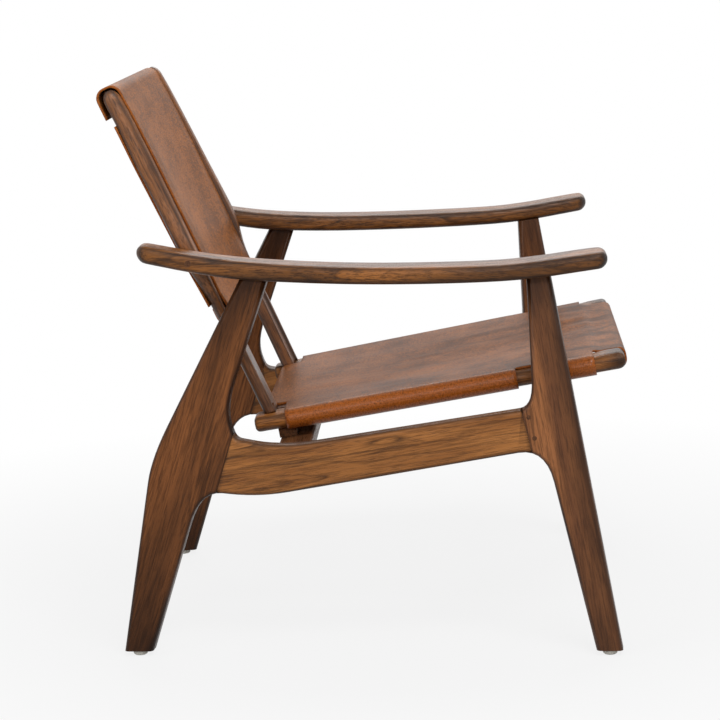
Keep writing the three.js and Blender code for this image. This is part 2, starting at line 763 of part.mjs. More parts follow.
// Armrests with mortises for the legs and a stepped hole for the bolt
const armBoltOuter = armBolt.y + armBolt.halfWide;
const armHeadAt = armBoltOuter - plugLength - seam;
const stileBoltAt = bossReach - armBoltBite;
const armX = armBoltReach;
const armBoltHole = rodAcross(boltHole, armX, armBolt.z, -armBoltOuter, -stileBoltAt + seam);
const armHeadHole = rodAcross(
  plugDiameter + 2 * seam,
  armX,
  armBolt.z,
  -armBoltOuter - overrun,
  -armHeadAt + boltHeadHeight + seam,
);
const armrest = cut(
  armBlank,
  moved(armTenon(rearLegTopShare, seam), right, arms),
  moved(armTenon(frontLegTopShare, seam), right, arms),
  armBoltHole,
  armHeadHole,
);
addPair("armrest", armrest, arms, arms, walnut);
const boltHead = rodAcross(boltHeadDiameter, armX, armBolt.z, -armHeadAt, -armHeadAt + boltHeadHeight);
const boltShank = rodAcross(
  boltDiameter,
  armX,
  armBolt.z,
  -armHeadAt + boltHeadHeight / 2,
  -stileBoltAt,
);
addPair("arm_bolt", joined(boltHead, boltShank), arms, arms, steel);
const plug = rodAcross(plugDiameter, armX, armBolt.z, -armBoltOuter, -armBoltOuter + plugLength);
addPair("arm_plug", plug, arms, arms, walnut);

// Seat rails
const seatNoseRadii = [seatNoseTop, seatNoseBottom, seatNoseTop, seatNoseTop];
const splaySlant = seatRailWidth * Math.sin(degrees(seatSplay)); // its inner corner leads its outer one
const sideRailFront = (seatRailFront - seam - splaySlant) / Math.cos(degrees(seatSplay));
const sideRailShape = roundedSection(-seatRailRear, sideRailFront, 0, seatRailDepth, seatNoseRadii);
const rearRailSpan = [-seatRearNose - seatCrossWidth / 2, seatCrossWidth / 2 - seatRearNose];
const frontRailFront = seatRailFront - seam;
const frontRailSpan = [frontRailFront - seatCrossWidth, frontRailFront];
const crossMiddle = seatRailDepth / 2;
const rearCrossMiddle = (rearRailSpan[0] + rearRailSpan[1]) / 2;
const frontCrossMiddle = (frontRailSpan[0] + frontRailSpan[1]) / 2;

function seatStubBar(x, grow) {
  const [wide, high] = [seatStubWidth / 2 + grow, seatStubHeight / 2 + grow];
  return box(x - wide, x + wide, -seatWidth, seatWidth, crossMiddle - high, crossMiddle + high);
}
const seatMortise = (x) =>
  moved(
    cut(
      seatStubBar(x, seam),
      ...beyondInner(seatRight, seatLeft, seatRailWidth, -seatStub - seam, seat),
    ),
    seat,
    seatRight,
  );

// Stile dowels stand in the seat's side rails
const dowelY = seatRailHalf(-backSetback) - seatRailWidth / 2 - blockInset;
const dowelTop = seatRailDepth + stileDowelBite;
const dowelLow = seatRailDepth - stileDowelBite;
const dowelCut = rodUp(
  stileDowelDiameter + 2 * seam,
  -backSetback,
  -dowelY,
  dowelLow - seam,
  dowelTop + seam,
);
const dowel = rodUp(stileDowelDiameter, -backSetback, -dowelY, dowelLow, dowelTop);
addPair("stile_dowel", dowel, seat, seat, walnutLight);

const seatSideRail = cut(
  board(sideRailShape, seatRailWidth, seatRailRounding, noseSteps / 2),
  seatMortise(rearCrossMiddle),
  seatMortise(frontCrossMiddle),
  moved(rearBoltCut, seat, seatRight),
  moved(frontBoltCut, seat, seatRight),
  moved(dowelCut, seat, seatRight),
);
addPair("seat_side_rail", seatSideRail, seatRight, seatLeft, walnut);

function crossRail(section, x) {
  const body = cut(
    barAcross(section, seatWidth),
    ...beyondInner(seatRight, seatLeft, seatRailWidth, seam, seat),
  );
  const stub = cut(
    seatStubBar(x, 0),
    ...beyondInner(seatRight, seatLeft, seatRailWidth, -seatStub, seat),
  );
  return joined(body, stub);
}
const rearRadii = [seatRearNose, stretcherRounding, stretcherRounding, seatRearNose];
const frontRadii = [stretcherRounding, seatNoseBottom, seatNoseTop, stretcherRounding];
const rearRailSection = roundedSection(...rearRailSpan, -seatRearDrop, seatRailDepth, rearRadii);
const frontRailSection = roundedSection(...frontRailSpan, -seatFrontDrop, seatRailDepth, frontRadii);
addPiece("seat_rear_rail", crossRail(rearRailSection, rearCrossMiddle), seat, walnut);
addPiece("seat_front_rail", crossRail(frontRailSection, frontCrossMiddle), seat, walnut);

// Seat leather: round the rear rail, over the top, round the front rail, and down both sides
const seatFlapFront = seatRailFront - seatFlapFrontGap;
const skin = seam + leather; // outer face of the leather over the wood
const seatTopZ = seatRailDepth + skin;
const quarter = Math.PI / 2;

function seatRows() {
  const rearX = rearRailSpan[0] + seatRearNose;
  const frontX = frontRailSpan[1];
  const rearNose = seatRearNose + skin;
  const rows = [
    { x: rearX + hemTuck, z: -seatRearDrop - skin, nx: 0, nz: -1 },
    ...noseRows(rearX, seatRearNose - seatRearDrop, rearNose, 3 * quarter, 2 * quarter, noseSteps),
    ...noseRows(rearX, seatRailDepth - seatRearNose, rearNose, 2 * quarter, quarter, noseSteps),
  ];
  const topStart = rows.length - 1;
  const [notchStart, notchEnd] = [frontReach - seatNotchRear, frontReach + seatNotchFront];
  const span = notchStart - seatFlapRear;
  const flapX = [0, ...seatRowShares, 1].map((share) => seatFlapRear + share * span);
  const notchRow = rows.length + flapX.length - 1;
  for (const x of [...flapX, notchEnd, seatFlapFront]) rows.push({ x, z: seatTopZ, nx: 0, nz: 1 });
  const topEnd = rows.length;
  const [highX, lowX] = [frontX - seatNoseTop, frontX - seatNoseBottom];
  const highZ = seatRailDepth - seatNoseTop;
  const lowZ = seatNoseBottom - seatFrontDrop;
  rows.push(
    ...noseRows(highX, highZ, seatNoseTop + skin, quarter, 0, noseSteps),
    ...noseRows(lowX, lowZ, seatNoseBottom + skin, 0, -quarter, noseSteps),
    { x: frontX - hemTuck - seatNoseBottom / 2, z: -seatFrontDrop - skin, nx: 0, nz: -1 },
  );
  return { rows, flapStart: topStart + 1, flapEnd: topEnd - 1, notchRow };
}

// Columns of one half: over the top, then round the side rail and under it
function seatColumns() {
  const inset = seatRailRounding + skin;
  const columns = seatColumnShares.map((share) => ({ share, inset: 0, z: seatTopZ, ny: 0, nz: 1 }));
  const low = seatRailRounding;
  const high = seatRailDepth - seatRailRounding;
  for (const row of noseRows(0, high, inset, quarter, 0, noseSteps).slice(1))
    columns.push({ share: 1, inset: row.x, z: row.z, ny: row.nx, nz: row.nz });
  for (const row of noseRows(0, low, inset, 0, -quarter, noseSteps))
    columns.push({ share: 1, inset: row.x, z: row.z, ny: row.nx, nz: row.nz });
  columns.push({ share: 1, inset: -seatFlapTuck, z: -skin, ny: 0, nz: -1 });
  return columns;
}

const { rows: seatRun, flapStart, flapEnd, notchRow } = seatRows();
const halfColumns = seatColumns();
const seatAcross = [
  ...halfColumns.toReversed().map((column) => ({ ...column, side: -1 })),
  ...halfColumns.map((column) => ({ ...column, side: 1 })),
];

// The leather hangs a little between the rails
function hollow(along, from, to, across, half, depth) {
  if (along <= from || along >= to || across >= half) return 0;
  const t = (2 * along - from - to) / (to - from);
  return depth * (1 - t * t) * (1 - (across / half) ** 2);
}

function seatPoint(i, j) {
  const row = seatRun[i];
  const column = seatAcross[j];
  const flatHalf = seatRailHalf(row.x) - seatRailRounding;
  const y = column.share * flatHalf + column.inset;
  if (row.nz === 1 && column.nz === 1) {
    const innerHalf = seatInnerColumnShare * flatHalf;
    const sag = hollow(row.x, rearRailSpan[1], seatFlapFront, y, innerHalf, seatSag);
    const place = new THREE.Vector3(row.x, column.side * y, seatTopZ - sag);
    return { place, normal: new THREE.Vector3(0, 0, 1) };
  }
  if (i < flapStart || i > flapEnd) {
    const place = new THREE.Vector3(row.x, column.side * y, row.z);
    return { place, normal: new THREE.Vector3(row.nx, 0, row.nz) };
  }
  const place = new THREE.Vector3(row.x, column.side * y, column.z);
  return { place, normal: new THREE.Vector3(0, column.side * column.ny, column.nz) };
}

// Past the flaps the leather is only as wide as its rear and front flaps
function seatPresent(i, j) {
  const widest = (limit) =>
    [seatAcross[j], seatAcross[j + 1]].every((column) => column.inset === 0 && column.share <= limit);
  if (i < flapStart) return widest(seatRearColumnShare);
  if (i >= flapEnd) return widest(seatFrontColumnShare);
  if (i === notchRow) return widest(1);
  return true;
}
const seatSling = sheetShell(seatRun.length, seatAcross.length, seatPresent, seatPoint);
addPiece("seat_sling", seatSling, seat, hide);

// Stiles: lofted posts that swell to a boss at the armrest
function stileAlong(share) {
  return share <= 1 ? share * boltAlong : boltAlong + (share - 1) * (stileLength - boltAlong);
}
function stileShareAt(along) {
  return along <= boltAlong ? along / boltAlong : 1 + (along - boltAlong) / (stileLength - boltAlong);
}
function stileAt(share) {
  const [, front, rear, inner, outer] = readTable(stileShares, share);
  return {
    front: front * stileDepth,
    rear: rear * stileDepth,
    inner: inner * bossReach,
    outer: outer * bossReach,
  };
}

function stileRing(share) {
  const { front, rear, inner, outer } = stileAt(share);
  const points = ringPoints((front - rear) / 2, (outer - inner) / 2, stileCorner);
  const [x, y, z] = [(front + rear) / 2, -(outer + inner) / 2, stileAlong(share)];
  return points.map(([a, b]) => new THREE.Vector3(x + a, y + b, z));
}

// Everything on the outer side of a stile's inner face, for the ends of the crossing rails
function stileShadow(offset) {
  const levels = stileShares.map(([share]) => [share, stileAlong(share)]);
  levels.push([levels.at(-1)[0], stileLength + overrun]);
  return loft(
    levels.map(([share, z]) => {
      const edge = -stileAt(share).inner + offset;
      return [
        new THREE.Vector3(overrun, edge, z),
        new THREE.Vector3(-overrun, edge, z),
        new THREE.Vector3(-overrun, edge - overrun, z),
        new THREE.Vector3(overrun, edge - overrun, z),
      ];
    }),
  );
}

const bottomRailMiddle = backBottomRailFoot + backBottomRailHeight / 2;
const bottomStile = stileAt(stileShareAt(bottomRailMiddle));
const bottomSpan = [bottomStile.front - backRailDepth, bottomStile.front];
const topRailFoot = stileLength - backTopRailHeight;
const topStile = stileAt(stileShareAt(topRailFoot));
const topSpan = [topStile.front - backTopRailDepth, topStile.front];
const topRailMiddle = topRailFoot + backTopRailHeight / 2;

function backStubBar(x, z, grow) {
  const [wide, high] = [backStub + grow, seatStubHeight + grow];
  return box(x - wide, x + wide, -bossReach, bossReach, z - high, z + high);
}
const bottomStubX = (bottomSpan[0] + bottomSpan[1]) / 2;
const topStubX = (topStile.front + topStile.rear) / 2;
const [bottomEnd, topEndHalf] = [bottomStile.inner + backStub, topStile.inner + backStub];

function backMortise(x, z, half) {
  const [wide, high] = [backStub + seam, seatStubHeight + seam];
  return box(x - wide, x + wide, -half - seam, 0, z - high, z + high);
}
function backRail(section, x, z, half) {
  const shadows = bothSides(stileShadow(seam));
  const body = cut(barAcross(section, bossReach), ...shadows);
  const [wide, high] = [backStub, seatStubHeight];
  return joined(body, box(x - wide, x + wide, -half, half, z - high, z + high));
}

const seatTopBlock = moved(
  box(-seatWidth, seatWidth, -seatWidth, seatWidth, -overrun, seatRailDepth + seam),
  seat,
  back,
);
const stile = cut(
  loft(stileShares.map(([share]) => stileRing(share))),
  seatTopBlock,
  moved(dowelCut, seat, back),
  moved(armBoltHole, arms, back),
  backMortise(bottomStubX, bottomRailMiddle, bottomEnd),
  backMortise(topStubX, topRailMiddle, topEndHalf),
);
addPair("back_stile", stile, back, back, walnut);

const nose = backRailNose;
const bottomRadii = [nose, nose, stretcherRounding, stretcherRounding];
const bottomFoot = backBottomRailFoot;
const bottomTop = bottomFoot + backBottomRailHeight;
const bottomSection = roundedSection(...bottomSpan, bottomFoot, bottomTop, bottomRadii);
const topRadii = [stretcherRounding, stretcherRounding, backTopNose, backTopNose];
const topSection = roundedSection(...topSpan, topRailFoot, stileLength, topRadii);
const bottomRail = backRail(bottomSection, bottomStubX, bottomRailMiddle, bottomEnd);
const topRail = backRail(topSection, topStubX, topRailMiddle, topEndHalf);
addPiece("back_bottom_rail", bottomRail, back, walnut);
addPiece("back_top_rail", topRail, back, walnut);

// Back leather: round the bottom rail, up the stiles' faces, and over the top rail
function backRows() {
  const [lowRear, lowFront] = [bottomSpan[0] + nose, bottomSpan[1] - nose];
  const lowZ = bottomFoot + nose;
  const rows = [
    { x: bottomSpan[0] - skin, z: lowZ + backFlap, nx: -1, nz: 0 },
    ...noseRows(lowRear, lowZ, nose + skin, 2 * quarter, 3 * quarter, noseSteps),
    ...noseRows(lowFront, lowZ, nose + skin, 3 * quarter, 4 * quarter, noseSteps),
  ];
  const faceStart = rows.length - 1;
  const highZ = stileLength - backTopNose;
  for (const share of [0, ...backRowShares, 1]) {
    const z = bottomTop + share * (topRailFoot - bottomTop);
    rows.push({ x: stileAt(stileShareAt(z)).front + skin, z, nx: 1, nz: 0 });
  }
  const [highFront, highRear] = [topSpan[1] - backTopNose, topSpan[0] + backTopNose];
  rows.push(
    ...noseRows(highFront, highZ, backTopNose + skin, 0, quarter, noseSteps),
    ...noseRows(highRear, highZ, backTopNose + skin, quarter, 2 * quarter, noseSteps),
    { x: topSpan[0] - skin, z: highZ - backFlap, nx: -1, nz: 0 },
  );
  return { rows, faceStart };
}
const { rows: backRun, faceStart } = backRows();
const backPanelHalf = backPanelShare * bossReach;
const backAcross = [...backColumnShares.toReversed().map((share) => -share), ...backColumnShares];

function backPoint(i, j) {
  const row = backRun[i];
  const y = -backAcross[j] * backPanelHalf;
  const half = backLoopColumnShare * backPanelHalf;
  const onFace = row.nx === 1;
  const sag = onFace ? hollow(row.z, bottomTop, topRailFoot, Math.abs(y), half, backSag) : 0;
  const place = new THREE.Vector3(row.x - sag, y, row.z);
  return { place, normal: new THREE.Vector3(row.nx, 0, row.nz) };
}
function backPresent(i, j) {
  const widest = Math.max(Math.abs(backAcross[j]), Math.abs(backAcross[j + 1]));
  return i >= faceStart || widest <= backLoopColumnShare;
}
const backSling = sheetShell(backRun.length, backAcross.length, backPresent, backPoint);
addPiece("back_sling", backSling, back, hide);

// Rear leather panel on the stiles' rear faces
const rearPanelLow = bottomTop + rearPanelClear;
const rearPanelHigh = stileLength * rearPanelTopShare;
function rearPanelPoint(i, j) {
  const z = rearPanelLow + (i / (backRowShares.length - 1)) * (rearPanelHigh - rearPanelLow);
  const x = stileAt(stileShareAt(z)).rear - skin;
  const y = backAcross[j] * rearPanelShare * bossReach;
  return { place: new THREE.Vector3(x, y, z), normal: new THREE.Vector3(-1, 0, 0) };
}
const rearPanel = sheetShell(backRowShares.length, backAcross.length, () => true, rearPanelPoint);
addPiece("back_rear_panel", rearPanel, back, hideRear);

// The origin is under the middle of the chair, on the floor
chair.updateMatrixWorld(true);
const bounds = new THREE.Box3().setFromObject(chair, true);
const middle = bounds.getCenter(new THREE.Vector3());
origin.position.set(-middle.x, -middle.y, -bounds.min.z);

export default chair;
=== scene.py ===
# %% [markdown]
# # A lounge chair in walnut and saddle leather
# The frame of the chair arrives as exact solids. This lesson dresses them: the boards get their
# rounded edges and their grain, the leather is cut flat and then laid over its rails.

# %% Load the solids
import math
import bmesh
import bpy
from mathutils import Matrix, Vector, noise


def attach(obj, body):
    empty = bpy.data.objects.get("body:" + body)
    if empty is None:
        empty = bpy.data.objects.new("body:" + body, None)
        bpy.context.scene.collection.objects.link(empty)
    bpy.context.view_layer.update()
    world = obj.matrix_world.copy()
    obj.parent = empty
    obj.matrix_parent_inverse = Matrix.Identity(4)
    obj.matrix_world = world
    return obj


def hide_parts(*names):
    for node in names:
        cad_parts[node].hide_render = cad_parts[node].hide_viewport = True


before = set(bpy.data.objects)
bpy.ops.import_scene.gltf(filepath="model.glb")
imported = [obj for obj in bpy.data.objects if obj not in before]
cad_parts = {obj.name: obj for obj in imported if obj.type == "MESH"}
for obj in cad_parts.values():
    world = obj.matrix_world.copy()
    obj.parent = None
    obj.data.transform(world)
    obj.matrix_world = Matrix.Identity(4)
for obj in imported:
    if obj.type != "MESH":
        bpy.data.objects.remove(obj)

scene = bpy.context.scene
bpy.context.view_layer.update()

# %% [markdown]
# ## Camera
# A long lens from the sitter's right, a little in front of the middle and above the seat. The
# camera is turned by its own right, up and forward directions, so its small roll is kept.

# %% Place the camera
camera = bpy.data.objects.new("studio_camera", bpy.data.cameras.new("studio_camera"))
scene.collection.objects.link(camera)
camera.data.sensor_width = 36.0
camera.data.lens = 122.5
camera.data.clip_end = 50.0
forward = Vector((-0.0486, 0.9815, -0.1853)).normalized()
rightward = Vector((0.9985, 0.0427, -0.0356))
rightward = (rightward - rightward.dot(forward) * forward).normalized()
upward = rightward.cross(forward)
facing = Matrix((rightward, upward, -forward)).transposed().to_4x4()
camera.matrix_world = Matrix.Translation((0.1651, -3.8281, 1.1106)) @ facing
scene.camera = camera
scene.view_settings.view_transform = "Standard"
print("camera at", tuple(round(v, 3) for v in camera.location))

# %% [markdown]
# ## Small helpers for materials
# A node is made, set and wired in one line, so that each finish below reads like a recipe.

# %% Node helpers
def paint(code):
    """A colour written as on a paint card, made linear for the shader."""
    values = [int(code[i : i + 2], 16) / 255 for i in (1, 3, 5)]
    linear = [v / 12.92 if v <= 0.04045 else ((v + 0.055) / 1.055) ** 2.4 for v in values]
    return (*linear, 1.0)


def wire(tree, kind, feeds=None, **settings):
    """A new node with its settings; feeds gives each input a number, a colour or another output."""
    made = tree.nodes.new(kind)
    for key, value in settings.items():
        setattr(made, key, value)
    for key, value in (feeds or {}).items():
        if isinstance(value, bpy.types.NodeSocket):
            tree.links.new(value, made.inputs[key])
        else:
            made.inputs[key].default_value = value
    return made


def math_node(tree, operation, a, b, clamp=False):
    made = wire(tree, "ShaderNodeMath", {0: a, 1: b}, operation=operation, use_clamp=clamp)
    return made.outputs[0]


def times(tree, a, b):
    return math_node(tree, "MULTIPLY", a, b)


def stretched(tree, vector, scale, move=(0, 0, 0)):
    return wire(tree, "ShaderNodeMapping", {0: vector, 1: move, 3: scale}).outputs[0]


def clouds(tree, vector, scale=1.0, detail=2.0, rough=0.5, distortion=0.0):
    feeds = {"Vector": vector, "Scale": scale, "Detail": detail, "Roughness": rough}
    return wire(tree, "ShaderNodeTexNoise", {**feeds, "Distortion": distortion}).outputs[0]


def ramp(tree, factor, stops):
    made = wire(tree, "ShaderNodeValToRGB", {0: factor})
    elements = made.color_ramp.elements
    while len(elements) < len(stops):
        elements.new(0.5)
    for element, (place, colour) in zip(elements, stops):
        element.position = place
        element.color = colour
    return made.outputs[0]


def blend(tree, factor, a, b):
    """Colour a where the factor is 0 and colour b where it is 1."""
    return wire(tree, "ShaderNodeMix", {0: factor, 6: a, 7: b}, data_type="RGBA").outputs[2]


SOCKETS = {"number": "NodeSocketFloat", "colour": "NodeSocketColor", "place": "NodeSocketVector"}


def new_group(name, inputs, outputs):
    """A group whose inputs and outputs are lists of labels for each kind of socket."""
    group = bpy.data.node_groups.new(name, "ShaderNodeTree")
    for in_out, sockets in (("INPUT", inputs), ("OUTPUT", outputs)):
        for kind, labels in sockets:
            for label in labels:
                group.interface.new_socket(name=label, in_out=in_out, socket_type=SOCKETS[kind])
    return group, group.nodes.new("NodeGroupInput"), group.nodes.new("NodeGroupOutput")


def finish_from(group, name, place, mark, values, bump, specular):
    """A material whose colour, gloss and height come from a group, fed with its own values."""
    material = bpy.data.materials.new(name)
    material.use_nodes = True
    tree = material.node_tree
    shader = tree.nodes["Principled BSDF"]
    if place == "across":
        place = wire(tree, "ShaderNodeTexCoord").outputs["Object"]
        place = wire(tree, "ShaderNodeMapping", {0: place, 2: (0, 0, math.pi / 2)}).outputs[0]
    elif place == "object":
        place = wire(tree, "ShaderNodeTexCoord").outputs["Object"]
    else:
        place = wire(tree, "ShaderNodeAttribute", attribute_name=place).outputs["Vector"]
    surface = tree.nodes.new("ShaderNodeGroup")
    surface.node_tree = group
    tree.links.new(place, surface.inputs["Place"])
    marked = wire(tree, "ShaderNodeAttribute", attribute_name=mark).outputs["Fac"]
    tree.links.new(marked, surface.inputs["Mark"])
    for label, value in values.items():
        surface.inputs[label].default_value = paint(value) if isinstance(value, str) else value
    tree.links.new(surface.outputs["Color"], shader.inputs["Base Color"])
    tree.links.new(surface.outputs["Roughness"], shader.inputs["Roughness"])
    strength, height = bump
    feeds = {"Strength": strength, "Distance": height, "Height": surface.outputs["Height"]}
    tree.links.new(wire(tree, "ShaderNodeBump", feeds).outputs[0], shader.inputs["Normal"])
    shader.inputs["Specular IOR Level"].default_value = specular
    return material


print("node helpers ready")

# %% [markdown]
# ## Walnut
# Oiled walnut shows three things at once: broad growth figure that closes into long arches,
# short dark streaks along the grain, and open pores. Slices through one stretched cloud give
# the arches; finer clouds, stretched harder, give the streaks and pores.

# %% Walnut figure group
SURFACE = [("colour", ["Color"]), ("number", ["Roughness", "Height"])]
BLACK, WHITE, FAINT = (0, 0, 0, 1), (1, 1, 1, 1), (0.06, 0.06, 0.06, 1)
LATE_WOOD = [(0.0, BLACK), (0.74, FAINT), (0.93, WHITE), (1.0, BLACK)]
wood_colours, wood_numbers = ["Light", "Middle", "Dark"], ["Mark", "Rings", "Arches", "Streaks"]
wood_sockets = [("place", ["Place"]), ("colour", wood_colours), ("number", wood_numbers)]
t, wood_in, wood_out = new_group("walnut_figure", wood_sockets, SURFACE)
walnut_figure = t
wood = wood_in.outputs
grain, dark = wood["Place"], wood["Dark"]
slices = clouds(t, stretched(t, grain, (1.6, 13, 13)), detail=2.2, rough=0.5, distortion=0.35)
ring = math_node(t, "FRACT", times(t, slices, wood["Rings"]), 0.0)
patchy = clouds(t, stretched(t, grain, (5, 40, 40), (2, 1, 4)), detail=2.0)
arches = times(t, ramp(t, ring, LATE_WOOD), ramp(t, patchy, [(0.34, BLACK), (0.6, WHITE)]))
streak = clouds(t, stretched(t, grain, (20, 420, 420)), detail=4.0, rough=0.7, distortion=0.2)
streak = ramp(t, streak, [(0.48, BLACK), (0.6, WHITE)])
smoke = stretched(t, grain, (4.5, 62, 62), (5, 2, 8))
smoke = clouds(t, smoke, detail=5.0, rough=0.74, distortion=0.4)
smoke = ramp(t, smoke, [(0.54, BLACK), (0.64, WHITE)])
pore = clouds(t, stretched(t, grain, (34, 780, 780)), detail=2.0, rough=0.6)
pore = ramp(t, pore, [(0.55, BLACK), (0.68, WHITE)])
broad = clouds(t, stretched(t, grain, (3, 26, 26), (3, 7, 5)), detail=2.5)
broad = ramp(t, broad, [(0.36, BLACK), (0.64, WHITE)])
# painted shade and wear: the edge mark darkens rounded edges, partly as oiled wear and partly as
# painted shade where they turn from the light; at the seat rails' front tips it is painted shadow
edge_shade_and_wear = math_node(t, "ADD", patchy, 0.25)
edge_shade_and_wear = math_node(t, "MULTIPLY", wood["Mark"], edge_shade_and_wear, clamp=True)
body = blend(t, broad, wood["Middle"], wood["Light"])
shares = ((arches, wood["Arches"]), (smoke, 0.62), (streak, wood["Streaks"]), (pore, 0.5))
for darker, share in shares:
    body = blend(t, times(t, darker, share), body, dark)
t.links.new(blend(t, edge_shade_and_wear, body, dark), wood_out.inputs["Color"])
rough = math_node(t, "ADD", times(t, streak, 0.14), 0.3)
t.links.new(rough, wood_out.inputs["Roughness"])
height = math_node(t, "ADD", times(t, pore, -1.0), times(t, streak, -0.5))
t.links.new(height, wood_out.inputs["Height"])
print("walnut figure:", len(t.nodes), "nodes")

# %% Walnut materials
def walnut(name, colours, rings, arches, streaks=0.6, specular=0.15, place="grain"):
    """The grain runs along the piece's own grain attribute, or across the chair."""
    values = dict(zip(wood_colours, colours.split()), Rings=rings, Arches=arches, Streaks=streaks)
    return finish_from(walnut_figure, name, place, "edge", values, (0.4, 0.0006), specular)


rear_walnut = walnut("rear_walnut", "#83502c #5a361e #221208", 11.0, 0.45, 0.45, 0.12)
front_walnut = walnut("front_walnut", "#a2683e #70452a #28150a", 9.0, 0.25, 0.4, 0.2)
rail_walnut = walnut("rail_walnut", "#b87a42 #8a572d #2a190e", 12.0, 0.75, 0.4)
arm_walnut = walnut("arm_walnut", "#9f6430 #5b3819 #1e1007", 10.0, 0.6, specular=0.2)
stile_walnut = walnut("stile_walnut", "#9c6234 #633c22 #211208", 9.0, 0.45, specular=0.34)
peg_walnut = walnut("peg_walnut", "#6b452b #4a2e1c #20130b", 6.0, 0.5)
cross_walnut = walnut("cross_walnut", "#7a4e2e #53331f #22130b", 13.0, 0.5, place="across")
print("walnut finishes ready")

# %% [markdown]
# ## Saddle leather
# The hide is dyed chestnut and waxed: mottled in patches of a few centimetres, speckled finely,
# with a shallow pebble grain. Towards the front of the seat painted shade darkens the creases, and
# the faces that turn sideways get a richer painted colour, standing in for the way the top greys
# in reflected light, and more gloss. The cut edge is a finish of its own.

# %% Leather group and materials
hide_colours = ["Light", "Middle", "Dark", "Rich"]
hide_sockets = [("place", ["Place"]), ("colour", hide_colours), ("number", ["Mark", "CreaseShade"])]
t, hide_in, hide_out = new_group("hide_surface", hide_sockets, SURFACE)
hide_surface = t
hide = hide_in.outputs
place, dark = hide["Place"], hide["Dark"]
patches = clouds(t, stretched(t, place, (16, 7, 16)), detail=4.0, rough=0.6)
mottle = stretched(t, place, (330, 130, 330))
mottle = clouds(t, mottle, detail=4.0, rough=0.75, distortion=1.0)
tone = math_node(t, "ADD", times(t, patches, 0.35), times(t, mottle, 0.65))
tone = ramp(t, tone, [(0.43, BLACK), (0.57, WHITE)])
body = blend(t, tone, hide["Middle"], hide["Light"])
# painted shade: a noise darkens the hide along its creases, more towards the front, and the same
# noise sinks the bump there
shaded_creases = clouds(t, stretched(t, place, (9, 19, 9)), detail=5.0, rough=0.62, distortion=0.8)
shaded_creases = ramp(t, shaded_creases, [(0.46, BLACK), (0.64, WHITE)])
frontness = wire(t, "ShaderNodeSeparateXYZ", {0: place}).outputs[0]
frontness = math_node(t, "ADD", times(t, frontness, 1.6), 0.42, clamp=True)
shaded_creases = times(t, shaded_creases, times(t, frontness, hide["CreaseShade"]))
body = blend(t, times(t, shaded_creases, 0.8), body, dark)
rich = ramp(t, mottle, [(0.4, (0.32, 0.32, 0.32, 1)), (0.6, BLACK)])
body = blend(t, hide["Mark"], body, blend(t, rich, hide["Rich"], dark))
speck = clouds(t, stretched(t, place, (600, 230, 600)), detail=2.0, rough=0.7)
speck = ramp(t, speck, [(0.5, BLACK), (0.62, WHITE)])
t.links.new(blend(t, times(t, speck, 0.6), body, dark), hide_out.inputs["Color"])
cells = wire(t, "ShaderNodeTexVoronoi", {"Vector": place, "Scale": 700.0}).outputs[0]
pebble = math_node(t, "ADD", cells, times(t, mottle, 0.8))
pebble = math_node(t, "ADD", pebble, times(t, shaded_creases, -1.2))
t.links.new(pebble, hide_out.inputs["Height"])
rough = math_node(t, "ADD", times(t, mottle, 0.24), 0.3)
rough = math_node(t, "SUBTRACT", rough, times(t, hide["Mark"], 0.14))
t.links.new(rough, hide_out.inputs["Roughness"])


def leather(name, colours, crease_shade=0.0, specular=0.1):
    """The mark is how far each face turns sideways; there the colour is painted richer and the
    gloss raised, standing in for the top greying in reflected light.
    """
    values = dict(zip(hide_colours, colours.split()), CreaseShade=crease_shade)
    bump = (0.22, 0.0005)
    return finish_from(hide_surface, name, "object", "facing_sideways", values, bump, specular)


# the copy of the hide for the faces that turn sideways: a richer painted colour, for the top's grey
# in reflected light, and more gloss
flap_hide = leather("flap_hide", "#98623b #674025 #21130a #a85a1e", specular=0.22)
seat_hide = leather("seat_hide", "#9c6238 #663d20 #21130a #b4622a", crease_shade=0.85, specular=0.07)
back_hide = leather("back_hide", "#ad6a34 #6e411e #2a180c #a55c27", specular=0.045)
cut_edge = leather("cut_edge", "#a86129 #8a4a20 #552a14 #a55c27")
print("leather ready")

# %% [markdown]
# ## Nylon and steel
# The glides are off-white nylon and the bolts zinc-plated. Both are small, so a little mottling
# in their gloss is enough.

# %% Nylon and steel
def plain(name, colours, roughness, metallic):
    material = bpy.data.materials.new(name)
    material.use_nodes = True
    tree = material.node_tree
    shader = tree.nodes["Principled BSDF"]
    place = wire(tree, "ShaderNodeTexCoord").outputs["Object"]
    cloud = clouds(tree, place, 260.0, detail=3.0)
    light, dark = (paint(code) for code in colours.split())
    tree.links.new(blend(tree, cloud, light, dark), shader.inputs["Base Color"])
    rough = math_node(tree, "ADD", times(tree, cloud, 0.2), roughness)
    tree.links.new(rough, shader.inputs["Roughness"])
    shader.inputs["Metallic"].default_value = metallic
    return material


nylon = plain("glide_nylon", "#d8d4ca #c3bfb4", 0.4, 0.0)
steel = plain("bolt_steel", "#9d9c98 #83827e", 0.3, 1.0)
for name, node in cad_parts.items():
    finish = nylon if "glide" in name else steel if "bolt" in name else cross_walnut
    for slot in node.material_slots:
        slot.material = finish
print("solids painted")

# %% [markdown]
# ## Making a piece
# Every new piece is finished the same way: its mesh becomes an object at the origin, it rides
# on the chair, and it takes the place of the solid that it dresses.

# %% Piece helpers
def add_piece(name, bm, materials, node):
    mesh = bpy.data.meshes.new(name)
    bm.to_mesh(mesh)
    bm.free()
    for material in materials:
        mesh.materials.append(material)
    mesh.shade_smooth()
    piece = bpy.data.objects.new(name, mesh)
    scene.collection.objects.link(piece)
    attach(piece, "root")
    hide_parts(node)
    print(name, len(mesh.polygons), "faces")
    return piece


def even_shading(piece):
    """Big flat faces keep their own shading next to narrow rounded edges."""
    piece.modifiers.new("even_shading", "WEIGHTED_NORMAL").keep_sharp = True


